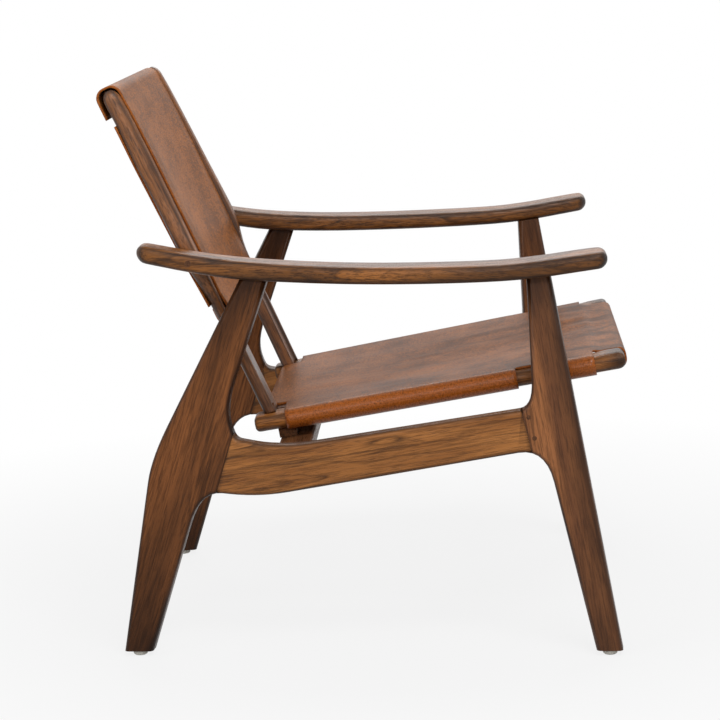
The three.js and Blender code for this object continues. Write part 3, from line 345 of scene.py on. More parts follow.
def lay_grain(bm, into_plank, shift):
    """Writes where each point lies in the plank that the piece was sawn from."""
    layer = bm.verts.layers.float_vector.new("grain")
    for vert in bm.verts:
        vert[layer] = into_plank @ vert.co + Vector(shift)


def mark_edge_shade_and_wear(bm, faces_along):
    """Marks how far each point turns away from the flat faces; the walnut darkens there, partly as
    wear and partly as painted shade where rounded edges turn from the light.
    """
    bm.normal_update()
    layer = bm.verts.layers.float.new("edge")
    for vert in bm.verts:
        flat = max(abs(vert.normal.dot(direction)) for direction in faces_along)
        vert[layer] = min(1.0, (1 - flat) / 0.3)


def other_side(bm):
    """The same shape for the sitter's left."""
    bmesh.ops.scale(bm, vec=(1, -1, 1), verts=bm.verts)
    bmesh.ops.recalc_face_normals(bm, faces=bm.faces)


def keep_side(bm, point, normal):
    """Cuts with a plane, keeps the side that the normal points to, and closes the cut."""
    geometry = bm.verts[:] + bm.edges[:] + bm.faces[:]
    plane = {"plane_co": point, "plane_no": normal}
    made = bmesh.ops.bisect_plane(bm, geom=geometry, dist=1e-6, clear_inner=True, **plane)
    rim = [e for e in made["geom_cut"] if isinstance(e, bmesh.types.BMEdge)]
    bmesh.ops.edgeloop_fill(bm, edges=[e for e in rim if e.is_boundary])


def soften(bm, edges, offset, segments):
    settings = {"segments": segments, "profile": 0.5, "affect": "EDGES", "material": -1}
    bmesh.ops.bevel(bm, geom=edges, offset=offset, **settings)


print("piece helpers ready")

# %% [markdown]
# ## Side frames
# Each frame is a flat board with an S-shaped rear leg, a rising rail and a raked front leg that
# run into each other through long curves. The board is drawn once, extruded, rounded over, and
# then sawn at the two joints, so that the curves pass the joints without a step.

# %% Outline of a side frame
# from the rear foot's rear edge to the middle of the chair
MIDDLE_X = 0.38049
# the spread of the feet, the height from the feet to the arms, then the board and its edges
BASE, LEG, BOARD, ROUNDING = 0.7475, 0.554, 0.030, 0.007
# each corner's place as shares of the spread and the height, and how far its curve reaches
corners = [
    (0.2755, 1.0488, 0, 0), (0.0684, 0.5262, 0.0995, 0.0633), (-0.0047, -0.0362, 0, 0),
    (0.0501, -0.0362, 0, 0), (0.1649, 0.4394, 0.1, 0.0615), (0.2842, 0.4213, 0.08, 0.08),
    (0.8543, 0.5458, 0.0723, 0.094), (0.9539, -0.0362, 0, 0), (1.0047, -0.0362, 0, 0),
    (0.865, 1.0488, 0, 0), (0.8224, 1.0488, 0, 0), (0.8318, 0.6555, 0.076, 0.0362),
    (0.3311, 0.557, 0.1, 0.072), (0.2413, 0.5805, 0.0163, 0.0163),
    (0.2212, 0.6582, 0.0506, 0.0814), (0.3263, 1.0488, 0, 0),
]


def frame_points(steps=7):
    """Straight runs joined by curves that leave each corner at its own reach."""
    spots = [Vector((along * BASE, 0, up * LEG)) for along, up, _, _ in corners]
    points = []
    for i, spot in enumerate(spots):
        before, after = spots[i - 1], spots[(i + 1) % len(spots)]
        reach_in, reach_out = corners[i][2] * LEG, corners[i][3] * LEG
        if reach_in == 0:
            points.append(spot)
            continue
        start = spot + (before - spot).normalized() * reach_in
        end = spot + (after - spot).normalized() * reach_out
        for k in range(steps + 1):
            u = k / steps
            points.append(start * (1 - u) ** 2 + spot * 2 * u * (1 - u) + end * u * u)
    return points


def frame_board():
    bm = bmesh.new()
    verts = [bm.verts.new(point) for point in frame_points()]
    face = bm.faces.new(verts)
    made = bmesh.ops.extrude_face_region(bm, geom=[face])
    moved = [v for v in made["geom"] if isinstance(v, bmesh.types.BMVert)]
    bmesh.ops.translate(bm, vec=(0, BOARD, 0), verts=moved)
    bmesh.ops.recalc_face_normals(bm, faces=bm.faces)
    rims = [e for e in bm.edges if abs(e.verts[0].co.y - e.verts[1].co.y) < 1e-6]
    soften(bm, rims, ROUNDING, 4)
    return bm


print("outline points:", len(frame_points()))

# %% Saw the frame into legs and rail, and stand it up
def joint_line(a, b):
    """A point on a joint and the direction across it, towards the leg."""
    start, end = (Vector((p[0] * BASE, 0, p[1] * LEG)) for p in (a, b))
    along = (end - start).normalized()
    return (start + end) / 2, Vector((-along.z, 0, along.x))


rear_joint = joint_line((0.1984, 0.4304), (0.2373, 0.5967))
front_joint = joint_line((0.8083, 0.6546), (0.8284, 0.5371))
GLIDE_TOP = 0.008
stand_up = (
    Matrix.Translation((-MIDDLE_X, -0.303, GLIDE_TOP))
    @ Matrix.Rotation(math.radians(-3.81), 4, "Z")
    @ Matrix.Rotation(math.radians(-3.35), 4, "X")
)
HAIRLINE = 0.00015


def frame_member(kind):
    """One of the three parts of a board, and the turn that lays it along its own grain."""
    bm = frame_board()
    (rear_at, rear_out), (front_at, front_out) = rear_joint, front_joint
    if kind == "rear_leg":
        keep_side(bm, rear_at + rear_out * HAIRLINE, rear_out)
        lean = math.radians(72)
    elif kind == "front_leg":
        keep_side(bm, front_at + front_out * HAIRLINE, front_out)
        lean = math.radians(99)
    else:
        keep_side(bm, rear_at - rear_out * HAIRLINE, -rear_out)
        keep_side(bm, front_at - front_out * HAIRLINE, -front_out)
        lean = math.radians(8.5)
    return bm, Matrix.Rotation(lean, 4, "Y") @ stand_up.inverted()


# %% [markdown]
# The legs are sawn level at the floor and under the armrest after the frame stands at its lean.

# %% Legs and rails
# a point under the armrest at each leg, and the direction square to the armrest there
under_arm = {
    "rear_leg": (Vector((-0.1555, 0, 0.5664)), Vector((0.0895, 0, 1))),
    "front_leg": (Vector((0.2501, 0, 0.5660)), Vector((-0.096, 0, 1))),
}
# the finish of each kind of part, its slot, and where in the log its plank was sawn
members = {
    "rear_leg": (rear_walnut, "walnut", (0.31, 0.03, 0.02)),
    "front_leg": (front_walnut, "walnut", (1.7, 0.31, 0.06)),
    "side_rail": (rail_walnut, "rail_walnut", (3.1, 0.02, 0.013)),
}
for kind, (finish, slot, shift) in members.items():
    for side in ("right", "left"):
        bm, into_plank = frame_member(kind)
        bmesh.ops.transform(bm, matrix=stand_up, verts=bm.verts)
        if kind in under_arm:
            point, slope = under_arm[kind]
            keep_side(bm, point, -slope)
            keep_side(bm, (0, 0, GLIDE_TOP), (0, 0, 1))
        next_plank = Vector((0.9, 0.21, 0.05)) * (side == "left")
        lay_grain(bm, into_plank, Vector(shift) + next_plank)
        mark_edge_shade_and_wear(bm, [stand_up.to_3x3() @ Vector((0, 1, 0))])
        if side == "left":
            other_side(bm)
        even_shading(add_piece(f"walnut_{side}_{kind}", bm, [finish], f"{side}_{kind}"))

# %% [markdown]
# Two pegs lock the front joint of each frame, and a plug covers the bolt in each armrest. They
# are sanded almost flush, so only a fine dome and a change of tone tell them from the wood.

# %% Pegs and plugs
def add_dowel_end(node, end, out, radius, long):
    """A short dowel with a slightly domed end, along a direction."""
    bm = bmesh.new()
    size = {"radius1": radius, "radius2": radius, "depth": long}
    bmesh.ops.create_cone(bm, cap_ends=True, segments=40, **size)
    tops = [e for e in bm.edges if e.verts[0].co.z > 0 and e.verts[1].co.z > 0]
    soften(bm, tops, 0.0006, 3)
    stand = out.to_track_quat("Z", "Y").to_matrix().to_4x4()
    place = Matrix.Translation(end - out * long / 2) @ stand
    bmesh.ops.transform(bm, matrix=place, verts=bm.verts)
    end_grain = Matrix.Rotation(math.pi / 2, 4, "Y") @ stand.inverted()
    lay_grain(bm, end_grain, (7.7 + end.x, 0.1, end.z))
    even_shading(add_piece(f"domed_{node}", bm, [peg_walnut], node))


for side, sign in (("right", 1), ("left", -1)):
    for label, along, up in (("upper", 0.8231, 0.6311), ("lower", 0.8338, 0.575)):
        end = stand_up @ Vector((along * BASE, -0.0003, up * LEG))
        out = (stand_up.to_3x3() @ Vector((0, -1, 0))).normalized()
        end.y *= sign
        out.y *= sign
        add_dowel_end(f"{side}_{label}_joint_peg", end, out, 0.0035, 0.012)
    end, out = Vector((-0.2565, -0.2974 * sign, 0.5936)), Vector((0, -sign, 0))
    add_dowel_end(f"{side}_arm_plug", end, out, 0.0050, 0.008)

# %% [markdown]
# ## Armrests
# The armrests are sculpted: narrow and rising at the back, flat and broad at the hand. Rings of
# the right width and thickness are set along the arm and bridged into a skin.

# %% Lofting helpers
def smooth_read(rows, at):
    """Reads a table at a place, along a curve through its rows."""
    i = 0
    while i < len(rows) - 2 and rows[i + 1][0] < at:
        i += 1
    p1, p2 = rows[i], rows[i + 1]
    p0, p3 = rows[max(0, i - 1)], rows[min(len(rows) - 1, i + 2)]
    span = p2[0] - p1[0]
    u = min(1.0, max(0.0, (at - p1[0]) / span))
    values = []
    for a, b, c, d in zip(p0[1:], p1[1:], p2[1:], p3[1:]):
        into = (c - a) / (p2[0] - p0[0]) * span
        out = (d - b) / (p3[0] - p1[0]) * span
        start, end = 2 * u**3 - 3 * u**2 + 1, 3 * u**2 - 2 * u**3
        values.append(start * b + (u**3 - 2 * u**2 + u) * into + end * c + (u**3 - u**2) * out)
    return values


def soft_ring(half_a, half_b, radius, count=7):
    """Points of a rounded rectangle, seven to each corner."""
    corner = min(radius, 0.97 * half_a, 0.97 * half_b)
    points = []
    for quarter in range(4):
        sign_a = 1 if quarter in (0, 3) else -1
        sign_b = 1 if quarter < 2 else -1
        for k in range(count):
            angle = (quarter + k / (count - 1)) * math.pi / 2
            a = sign_a * (half_a - corner) + corner * math.cos(angle)
            points.append((a, sign_b * (half_b - corner) + corner * math.sin(angle)))
    return points


def skin_over(rings):
    """A closed skin over rings with equal numbers of points."""
    bm = bmesh.new()
    loops = [[bm.verts.new(point) for point in ring] for ring in rings]
    edges = [[bm.edges.new((loop[i - 1], loop[i])) for i in range(len(loop))] for loop in loops]
    for first, second in zip(edges, edges[1:]):
        bmesh.ops.bridge_loops(bm, edges=first + second)
    for loop in (edges[0], edges[-1]):
        bmesh.ops.edgeloop_fill(bm, edges=loop)
    bmesh.ops.recalc_face_normals(bm, faces=bm.faces)
    return bm


def drawn_in(radius, distance):
    """How far a rounded tip is drawn in, at a distance from its end."""
    rest = max(0.0, radius - distance)
    return radius - math.sqrt(radius * radius - rest * rest)


print("lofting helpers ready")

# %% Armrests
ARM_LENGTH, ARM_BACK = 0.687, 0.046 - MIDDLE_X
# place along the arm, height of its middle, distance from the chair's middle, width, thickness
arm_rows = [
    (0.0000, 0.6090, 0.2670, 0.0540, 0.0260), (0.0130, 0.6072, 0.2676, 0.0540, 0.0260),
    (0.0750, 0.5941, 0.2694, 0.0550, 0.0270), (0.1440, 0.5826, 0.2721, 0.0570, 0.0280),
    (0.2320, 0.5756, 0.2805, 0.0600, 0.0265), (0.3310, 0.5721, 0.2947, 0.0630, 0.0255),
    (0.4310, 0.5716, 0.3057, 0.0660, 0.0250), (0.5330, 0.5736, 0.3136, 0.0680, 0.0245),
    (0.5920, 0.5786, 0.3183, 0.0690, 0.0250), (0.6360, 0.5846, 0.3230, 0.0700, 0.0250),
    (0.6650, 0.5886, 0.3267, 0.0700, 0.0245), (0.6870, 0.5911, 0.3296, 0.0700, 0.0245),
]


def arm_ring(along, distance):
    """A ring of the arm at a place along it, drawn in for its distance from the nearer tip."""
    height, aside, width, thick = smooth_read(arm_rows, along)
    half_wide = width / 2 - drawn_in(TIP, distance)
    half_thick = thick / 2 - drawn_in(thick / 2, distance)
    ring = soft_ring(half_wide, half_thick, 0.0095)
    return [Vector((ARM_BACK + along, a - aside, height + b)) for a, b in ring]


TIP = 0.021
tips = [0.0004, 0.0015, 0.0035, 0.0065, 0.010, 0.0145, TIP]
stations = [TIP + (ARM_LENGTH - 2 * TIP) * k / 34 for k in range(1, 34)]
for side in ("right", "left"):
    rings = [arm_ring(d, d) for d in tips]
    rings += [arm_ring(at, TIP) for at in stations]
    rings += [arm_ring(ARM_LENGTH - d, d) for d in reversed(tips)]
    bm = skin_over(rings)
    lay_grain(bm, Matrix.Identity(4), (5.2 + (side == "left"), 0.02, 0.01))
    mark_edge_shade_and_wear(bm, [Vector((0, 1, 0)), Vector((0, 0, 1))])
    if side == "left":
        other_side(bm)
    add_piece(f"sculpted_{side}_armrest", bm, [arm_walnut], f"{side}_armrest")

# %% [markdown]
# ## Back stiles
# Each stile is a post that leans back with the leather and swells sideways to a boss where the
# armrest is bolted to it. It is lofted upright and then leaned, and its foot is sawn on the seat
# rail. Its face is let in for the leather, and on the left a rim stands beyond the leather.

# %% Where the seat and the back stand
def leaned(x, z, degrees):
    return Matrix.Translation((x, 0, z)) @ Matrix.Rotation(math.radians(degrees), 4, "Y")


seat_place, back_place = leaned(-0.1290, 0.32816, -9.206), leaned(-0.15082, 0.35026, -23.472)
ASIDE = Vector((0, 1, 0))
seat_up = seat_place.to_3x3() @ Vector((0, 0, 1))
back_out, back_up = (back_place.to_3x3() @ Vector(v) for v in ((1, 0, 0), (0, 0, 1)))
print("seat and back placed")

# %% Back stiles
# place along the stile, its front and rear faces, and its inner and outer side
stile_rows = [
    (-0.0212, 0.0110, -0.0112, 0.1622, 0.2122), (0.0000, 0.0110, -0.0112, 0.1631, 0.2129),
    (0.0903, 0.0115, -0.0104, 0.1670, 0.2168), (0.1807, 0.0122, -0.0100, 0.1711, 0.2209),
    (0.2258, 0.0130, -0.0120, 0.1770, 0.2308), (0.2510, 0.0136, -0.0136, 0.1810, 0.2397),
    (0.2653, 0.0140, -0.0142, 0.1829, 0.2417), (0.2859, 0.0140, -0.0147, 0.1849, 0.2417),
    (0.3158, 0.0140, -0.0154, 0.1866, 0.2378), (0.3607, 0.0138, -0.0164, 0.1875, 0.2332),
    (0.4264, 0.0135, -0.0178, 0.1890, 0.2308), (0.4891, 0.0125, -0.0180, 0.1909, 0.2276),
    (0.5200, 0.0109, -0.0194, 0.1921, 0.2259), (0.5311, 0.0096, -0.0192, 0.1928, 0.2252),
    (0.5380, 0.0064, -0.0168, 0.1948, 0.2233), (0.5424, 0.0019, -0.0120, 0.1982, 0.2199),
]


def blend_in(at, start, end):
    """From 0 at the start to 1 at the end, with a soft start and a soft end."""
    u = min(1.0, max(0.0, (at - start) / (end - start)))
    return u * u * (3 - 2 * u)


def arc(x, y, radius, start, end, count=7):
    """Points on a part of a circle, between two angles in degrees."""
    angles = [math.radians(start + (end - start) * k / (count - 1)) for k in range(count)]
    return [(x + radius * math.cos(a), y + radius * math.sin(a)) for a in angles]


def stile_ring(at, leather_edge, sunk, rim, soft):
    """A rounded post, let in on its face for the leather, with a rim beyond it."""
    front, rear, inner, outer = smooth_read(stile_rows, at)
    low, crest = front - sunk, front - sunk + rim
    soft = min(soft, 0.48 * (crest - rear))
    soft_rear = min(0.009, 0.48 * (crest - rear))
    step = min(leather_edge, outer - soft - 0.001)
    outline = arc(crest - soft, outer - soft, soft, 90, 0)
    outline += [(crest, step + 0.0012), (crest - 0.15 * rim, step + 0.0002), (low, step)]
    outline += [(low, inner + 0.003), (low - 0.0009, inner + 0.0009), (low - 0.003, inner)]
    outline += [(rear + 0.005, inner), (rear + 0.0015, inner + 0.0015), (rear, inner + 0.005)]
    outline += arc(rear + soft_rear, outer - soft_rear, soft_rear, 180, 90)
    return [Vector((x, -y, at)) for x, y in outline]


def settled(spot, drop):
    """The tops of the pieces of the back stand a little off the heights they are drawn at."""
    spot.z -= drop * blend_in(spot.z, 0.490, 0.530)
    return spot


# the back leather's middle, a little off the chair's, and its half-width
BACK_MIDDLE, BACK_HALF = -0.0065, 0.2070
near_step, far_step = BACK_HALF - BACK_MIDDLE + 0.001, BACK_HALF + BACK_MIDDLE + 0.001
heights = [-0.0212 + k * 0.0118 for k in range(46)]
heights += [0.5240, 0.5280, 0.5311, 0.5340, 0.5365, 0.5385, 0.5400, 0.5412, 0.5420, 0.5424]
stile_posts = []
for at in heights:
    rim = 0.0034 + 0.0062 * (1 - 0.45 * blend_in(at, 0.26, 0.50)) * blend_in(at, 0.20, 0.26)
    soft = 0.005 + 0.008 * blend_in(at, 0.25, 0.36)
    near = stile_ring(at, near_step, 0.0048, 0.0004, soft)
    far = stile_ring(at, far_step, 0.0026, rim, 0.0055)
    stile_posts.append(([settled(v, 0.0022) for v in near], [settled(v, 0.0008) for v in far]))
for which, side in enumerate(("right", "left")):
    bm = skin_over([rings[which] for rings in stile_posts])
    bmesh.ops.transform(bm, matrix=back_place, verts=bm.verts)
    keep_side(bm, seat_place @ Vector((-0.018, 0, 0.0253)), seat_up)
    upright = Matrix.Rotation(math.pi / 2, 4, "Y") @ back_place.inverted()
    lay_grain(bm, upright, (9.3 + (side == "left"), 0.02, 0.01))
    mark_edge_shade_and_wear(bm, [back_out, ASIDE])
    if side == "left":
        other_side(bm)
    add_piece(f"leaning_{side}_back_stile", bm, [stile_walnut], f"{side}_back_stile")

# %% [markdown]
# ## Seat side rails
# The side rails are rounded over on the outside, so that the leather rolls round them. Past the
# leather's side flaps their bare ends stand a little higher, and the leather lies between them.
# The bare front ends are darkened towards their tips with painted shadow, for the shade inside the
# leather's front wrap.

# %% Seat side rails
RAIL_REAR, RAIL_FRONT = -0.0455, 0.5194


def seat_rail_half(x):
    """Half-width of the seat over its side rails, which splay towards the front."""
    return 0.2525 - (0.520 - x) * math.tan(math.radians(2.83))


def side_rail_ring(x):
    d_front, d_rear = RAIL_FRONT - x, x - RAIL_REAR
    top = 0.025 + 0.0015 * blend_in(x, 0.470, 0.494)
    top -= drawn_in(0.0095, d_front) + drawn_in(0.007, d_rear)
    bottom = drawn_in(0.0115, d_front) + drawn_in(0.007, d_rear)
    pinch = drawn_in(0.005, d_front) + drawn_in(0.005, d_rear)
    outer, inner = seat_rail_half(x) - pinch, seat_rail_half(x) - 0.045 + pinch
    round_over, corner = 0.48 * (top - bottom), min(0.0055, 0.4 * (top - bottom))
    outline = arc(outer - round_over, top - round_over, round_over, 90, 0)
    outline += arc(outer - round_over, bottom + round_over, round_over, 0, -90)
    outline += arc(inner + corner, bottom + corner, corner, -90, -180, 5)
    outline += arc(inner + corner, top - corner, corner, 180, 90, 5)
    return [Vector((x, -y, z)) for y, z in outline]


ends = [0.0003, 0.0012, 0.0028, 0.005, 0.0078, 0.0115]
spots = [RAIL_REAR + d for d in ends] + [-0.0240 + 0.0124 * k for k in range(40)]
spots += [0.470, 0.474, 0.476, 0.478, 0.480, 0.482, 0.490, 0.500]
spots += [RAIL_FRONT - d for d in reversed(ends)]
for side in ("right", "left"):
    bm = skin_over([side_rail_ring(x) for x in spots])
    lay_grain(bm, Matrix.Identity(4), (13.1 + (side == "left"), 0.05, 0.02))
    bmesh.ops.transform(bm, matrix=seat_place, verts=bm.verts)
    mark_edge_shade_and_wear(bm, [ASIDE, seat_up])
    # painted shadow: the edge mark rises to full darkness at the bare front tip, for the shade
    # inside the leather's wrap
    tip_shadow = bm.verts.layers.float["edge"]
    for vert in bm.verts:
        along = (seat_place.inverted() @ vert.co).x
        vert[tip_shadow] = max(vert[tip_shadow], 1.2 * blend_in(along, 0.472, 0.512))
    if side == "left":
        other_side(bm)
    node = f"{side}_seat_side_rail"
    add_piece(f"rounded_{node}", bm, [arm_walnut], node)

# %% [markdown]
# ## Seat leather
# The seat is one hide. It is cut flat with four flaps: the side flaps fold round the side rails
# and tuck under them, with a notch for the front stretcher, and the end flaps wrap the front and
# rear rails. Here a flat grid is cut to that pattern and then every point is moved to its place
# on the rails, so that each point keeps its distances to its neighbours.

# %% Helpers for folded leather
# the hide's thickness, and how far its face stands off the wood that it lies on
LEATHER, STAND_OFF = 0.0032, 0.0035


def round_nose(x, z, radius, start, end, steps=6):
    """Stations round a rounded edge, each with its place and its outward direction."""
    stations = []
    for k in range(steps + 1):
        angle = math.radians(start + (end - start) * k / steps)
        nx, nz = math.cos(angle), math.sin(angle)
        stations.append((x + radius * nx, z + radius * nz, nx, nz))
    return stations


def straight(start, end, steps, normal):
    """Stations on a straight run, with neither of its ends."""
    (x0, z0), (x1, z1) = start, end
    spots = [k / steps for k in range(1, steps)]
    return [(x0 + (x1 - x0) * u, z0 + (z1 - z0) * u, *normal) for u in spots]


def spread(start, end, steps):
    """Even steps from the start, without the end."""
    return [start + (end - start) * k / steps for k in range(steps)]


def lay_leather(name, node, size, kept, placed, stand, hides, turned=True):
    """Cuts a grid of rows and columns flat, measures it, and moves each point to its place.

    Only the cells that kept allows are left. The hides are the face and its cut edge, then any
    face and edge for the sides. The grid is turned over where its rows run down the outside.
    """
    rows, columns = size
    lie = [[placed(row, column) for column in range(columns)] for row in range(rows)]
    middle = columns // 2
    down = [0.0]
    for row in range(1, rows):
        down.append(down[-1] + (lie[row][middle] - lie[row - 1][middle]).length)
    bm = bmesh.new()
    bmesh.ops.create_grid(bm, x_segments=columns - 1, y_segments=rows - 1, size=0.5)
    index = {}
    for vert in bm.verts:
        column = round((vert.co.x + 0.5) * (columns - 1))
        row = round((vert.co.y + 0.5) * (rows - 1))
        index[vert] = (row, column)
        run = lie[row]
        reach = range(middle, column) if column > middle else range(column, middle)
        wide = sum((run[k + 1] - run[k]).length for k in reach)
        vert.co = (wide if column > middle else -wide, down[row], 0)
    gone = []
    for face in bm.faces:
        cells = [index[v] for v in face.verts]
        if not kept(min(c[0] for c in cells), min(c[1] for c in cells)):
            gone.append(face)
    bmesh.ops.delete(bm, geom=gone, context="FACES")
    loose = [v for v in bm.verts if not v.link_faces]
    bmesh.ops.delete(bm, geom=loose, context="VERTS")
    area = sum(face.calc_area() for face in bm.faces)
    for vert in bm.verts:
        row, column = index[vert]
        vert.co = stand @ lie[row][column]
    if turned:
        bmesh.ops.reverse_faces(bm, faces=bm.faces)
    bm.normal_update()
    # painted light: faces that turn sideways are marked for a richer colour than the top, and take
    # the glossier flap hide below
    facing_sideways = bm.verts.layers.float.new("facing_sideways")
    for vert in bm.verts:
        vert[facing_sideways] = blend_in(abs(vert.normal.y), 0.2, 0.7)
    for face in bm.faces:
        face.material_index = 2 if len(hides) > 2 and abs(face.normal.y) > 0.25 else 0
    piece = add_piece(name, bm, hides, node)
    shell = piece.modifiers.new("thickness", "SOLIDIFY")
    shell.thickness = LEATHER
    shell.offset = -1
    shell.use_even_offset = True
    shell.material_offset_rim = 1


print("leather helpers ready")

# %% Seat leather
# from the end tucked under the rear rail, over it, along the seat and round the front rail
SEAT_FACE, FLAP_REAR, FLAP_FRONT = 0.0285, 0.003, 0.474
NOTCH_REAR, NOTCH_FRONT = 0.3562, 0.4307
up, down = (0, 1), (0, -1)
seat_rows = straight((0.010, -0.008), (-0.020, -0.008), 6, down)
seat_rows += round_nose(-0.020, 0.0075, 0.0155, 270, 180)
seat_rows += round_nose(-0.020, 0.013, 0.0155, 180, 90)
seat_rows += straight((-0.020, SEAT_FACE), (FLAP_REAR, SEAT_FACE), 4, up)
flap_start = len(seat_rows)
runs = spread(FLAP_REAR, NOTCH_REAR, 58)
notch_start = flap_start + len(runs)
runs += spread(NOTCH_REAR, NOTCH_FRONT, 12)
notch_end = flap_start + len(runs)
runs += spread(NOTCH_FRONT, FLAP_FRONT, 7)
flap_end = flap_start + len(runs)
runs += spread(FLAP_FRONT, 0.5127, 8)
seat_rows += [(x, SEAT_FACE - 0.0025 * blend_in(x, FLAP_FRONT, 0.488), *up) for x in runs]
seat_rows += round_nose(0.5127, 0.0155, 0.0105, 90, 0)
seat_rows += round_nose(0.5082, 0.0085, 0.015, 0, -90)
seat_rows += straight((0.5082, -0.0065), (0.484, -0.0065), 5, down)

# from the middle out: the share of the half-width, then the inset and the height on the fold
REAR_SHARE, FRONT_SHARE = 0.7596, 0.8690
shares = spread(0, REAR_SHARE, 25) + spread(REAR_SHARE, FRONT_SHARE, 5)
shares += spread(FRONT_SHARE, 1, 4) + [1.0]
half = [(share, 0.0, SEAT_FACE) for share in shares]
half += [(1.0, a, b) for a, b, _, _ in round_nose(0, 0.0125, 0.016, 90, 0, 8)[1:]]
half += [(1.0, a, b) for a, b, _, _ in round_nose(0, 0.0125, 0.016, 0, -90, 8)[1:]]
half += [(1.0, -0.005, -0.0035), (1.0, -0.010, -0.0035)]
seat_columns = [(-1, *c) for c in reversed(half[1:])] + [(1, *c) for c in half]


def creases(x, y, seed):
    """Soft creases of a stretched hide, mostly along the pull."""
    soft = noise.noise(Vector((x * 5.0, y * 22.0, seed)))
    fine = noise.noise(Vector((x * 14.0, y * 60.0, seed + 9.0)))
    return 0.0014 * soft + 0.0005 * fine


def pucker(x, y):
    """Short buckles that stand up where the hide is pulled over the front rail."""
    wave = noise.noise(Vector((x * 6.0, y * 24.0, 5.0)))
    return 0.0045 * max(0.0, wave) * blend_in(x, 0.36, 0.43) * (1 - blend_in(x, 0.478, 0.505))


def hollow_at(at, start, end, share, reach):
    """How far the hide hangs, as a share: most in the middle, nothing at its rails."""
    t = (2 * at - start - end) / (end - start)
    return (1 - t * t) * max(0.0, 1 - (share / reach) ** 2)


def seat_spot(row, column):
    x, z, _, nz = seat_rows[row]
    side, share, inset, column_z = seat_columns[column]
    on_top = nz > 0.999
    y = side * (share * (seat_rail_half(x) - 0.0125) + inset)
    if not on_top or x > FLAP_FRONT:
        return Vector((x, y, z + (pucker(x, y) if on_top else 0)))
    spot = Vector((x, y, column_z))
    if inset == 0 and column_z == SEAT_FACE and x > 0.008:
        hollow = hollow_at(x, 0.008, FLAP_FRONT, share, 0.844)
        spot.z -= 0.007 * hollow - creases(x, y, 3.0) * min(1.0, 4 * hollow)
        spot.z += pucker(x, y) * (1 - blend_in(share, 0.9, 1.0))
    return spot


def seat_kept(row, column):
    cells = seat_columns[column : column + 2]
    outer = max(share for _, share, _, _ in cells)
    flat = all(inset == 0 and z == SEAT_FACE for _, _, inset, z in cells)
    if row < flap_start:
        return flat and outer <= REAR_SHARE + 0.0001
    if row >= flap_end:
        return flat and outer <= FRONT_SHARE + 0.0001
    return flat or not notch_start <= row < notch_end


rests = ["seat_rear_rail", "seat_front_rail"]
rests += ["rounded_right_seat_side_rail", "rounded_left_seat_side_rail"]
size = (len(seat_rows), len(seat_columns))
hides = [seat_hide, cut_edge, flap_hide, cut_edge]
lay_leather("saddle_seat", "seat_sling", size, seat_kept, seat_spot, seat_place, hides)

# %% [markdown]
# ## Back leather
# The back is a second hide, let into the front of the stiles. It wraps the lower rail and the
# thicker top rail, and hangs a little between them. A plainer panel closes the back of the frame.

# %% Back leather
def stile_face(at, which):
    return smooth_read(stile_rows, at)[which]


def back_lift(at):
    """The leather lies in the stiles' step, and over the lower rail it stands a little higher."""
    return 0.0036 * (1 - blend_in(at, 0.168, 0.205)) - 0.0001


# from the end behind the lower rail, round it, up the face and over the top rail
rear = (-1, 0)
back_rows = straight((-0.0169, 0.181), (-0.0169, 0.161), 4, rear)
back_rows += round_nose(-0.0034, 0.161, 0.0135, 180, 270)
back_rows += round_nose(0.0021, 0.161, 0.0135, 270, 360)
face_start = len(back_rows) - 1
face = spread(0.167, 0.5255, 58)
back_rows += [(stile_face(at, 0) + back_lift(at), at, 1, 0) for at in face]
back_rows += round_nose(-0.0056, 0.5285, 0.0165, 0, 90)
back_rows += round_nose(-0.0118, 0.5285, 0.0165, 90, 180)
back_rows += straight((-0.0283, 0.5285), (-0.0283, 0.496), 6, rear)
WRAP_SHARE = 0.8
half = spread(0, WRAP_SHARE, 26) + spread(WRAP_SHARE, 1, 7) + [1.0]
back_columns = [-share for share in reversed(half[1:])] + half


def back_spot(row, column):
    x, z, nx, _ = back_rows[row]
    share = back_columns[column]
    y = BACK_MIDDLE + BACK_HALF * share
    if nx == 1 and 0.183 < z < 0.4965:
        hollow = hollow_at(z, 0.183, 0.4965, share, WRAP_SHARE)
        x -= 0.008 * hollow - 0.25 * creases(z, y, 11.0) * min(1.0, 4 * hollow)
    return settled(Vector((x + 0.0013 * share, y, z)), 0.0018 * share - 0.0004)


def back_kept(row, column):
    outer = max(abs(share) for share in back_columns[column : column + 2])
    return row >= face_start or outer <= WRAP_SHARE + 0.0001


def whole(row, column):
    return True


rail_rings = []
for k in range(41):
    y = -0.196 + 0.0098 * k
    ring = arc(-0.0051, 0.5285, 0.0122, 90, 0) + arc(-0.0051, 0.5090, 0.0122, 0, -90)
    ring += arc(-0.0172, 0.5020, 0.0052, 270, 180) + arc(-0.0102, 0.5285, 0.0122, 180, 90)
    rail_rings.append([settled(Vector((x, y, z)), 0.0087 * y - 0.0002) for x, z in ring])
bm = skin_over(rail_rings)
lay_grain(bm, Matrix.Rotation(math.pi / 2, 4, "Z"), (17.3, 0.03, 0.02))
bmesh.ops.transform(bm, matrix=back_place, verts=bm.verts)
mark_edge_shade_and_wear(bm, [back_out, back_up])
add_piece("rounded_back_top_rail", bm, [stile_walnut], "back_top_rail")

stiles, hides = ["leaning_right_back_stile", "leaning_left_back_stile"], [back_hide, cut_edge]
rests = ["back_bottom_rail", "rounded_back_top_rail"] + stiles
size, name = (len(back_rows), len(back_columns)), "saddle_back"
lay_leather(name, "back_sling", size, back_kept, back_spot, back_place, hides, False)

# %% Rear panel
PANEL_LOW, PANEL_HIGH, PANEL_HALF = 0.187, 0.4887, 0.2228
rear_heights = spread(PANEL_LOW, PANEL_HIGH, 40) + [PANEL_HIGH]


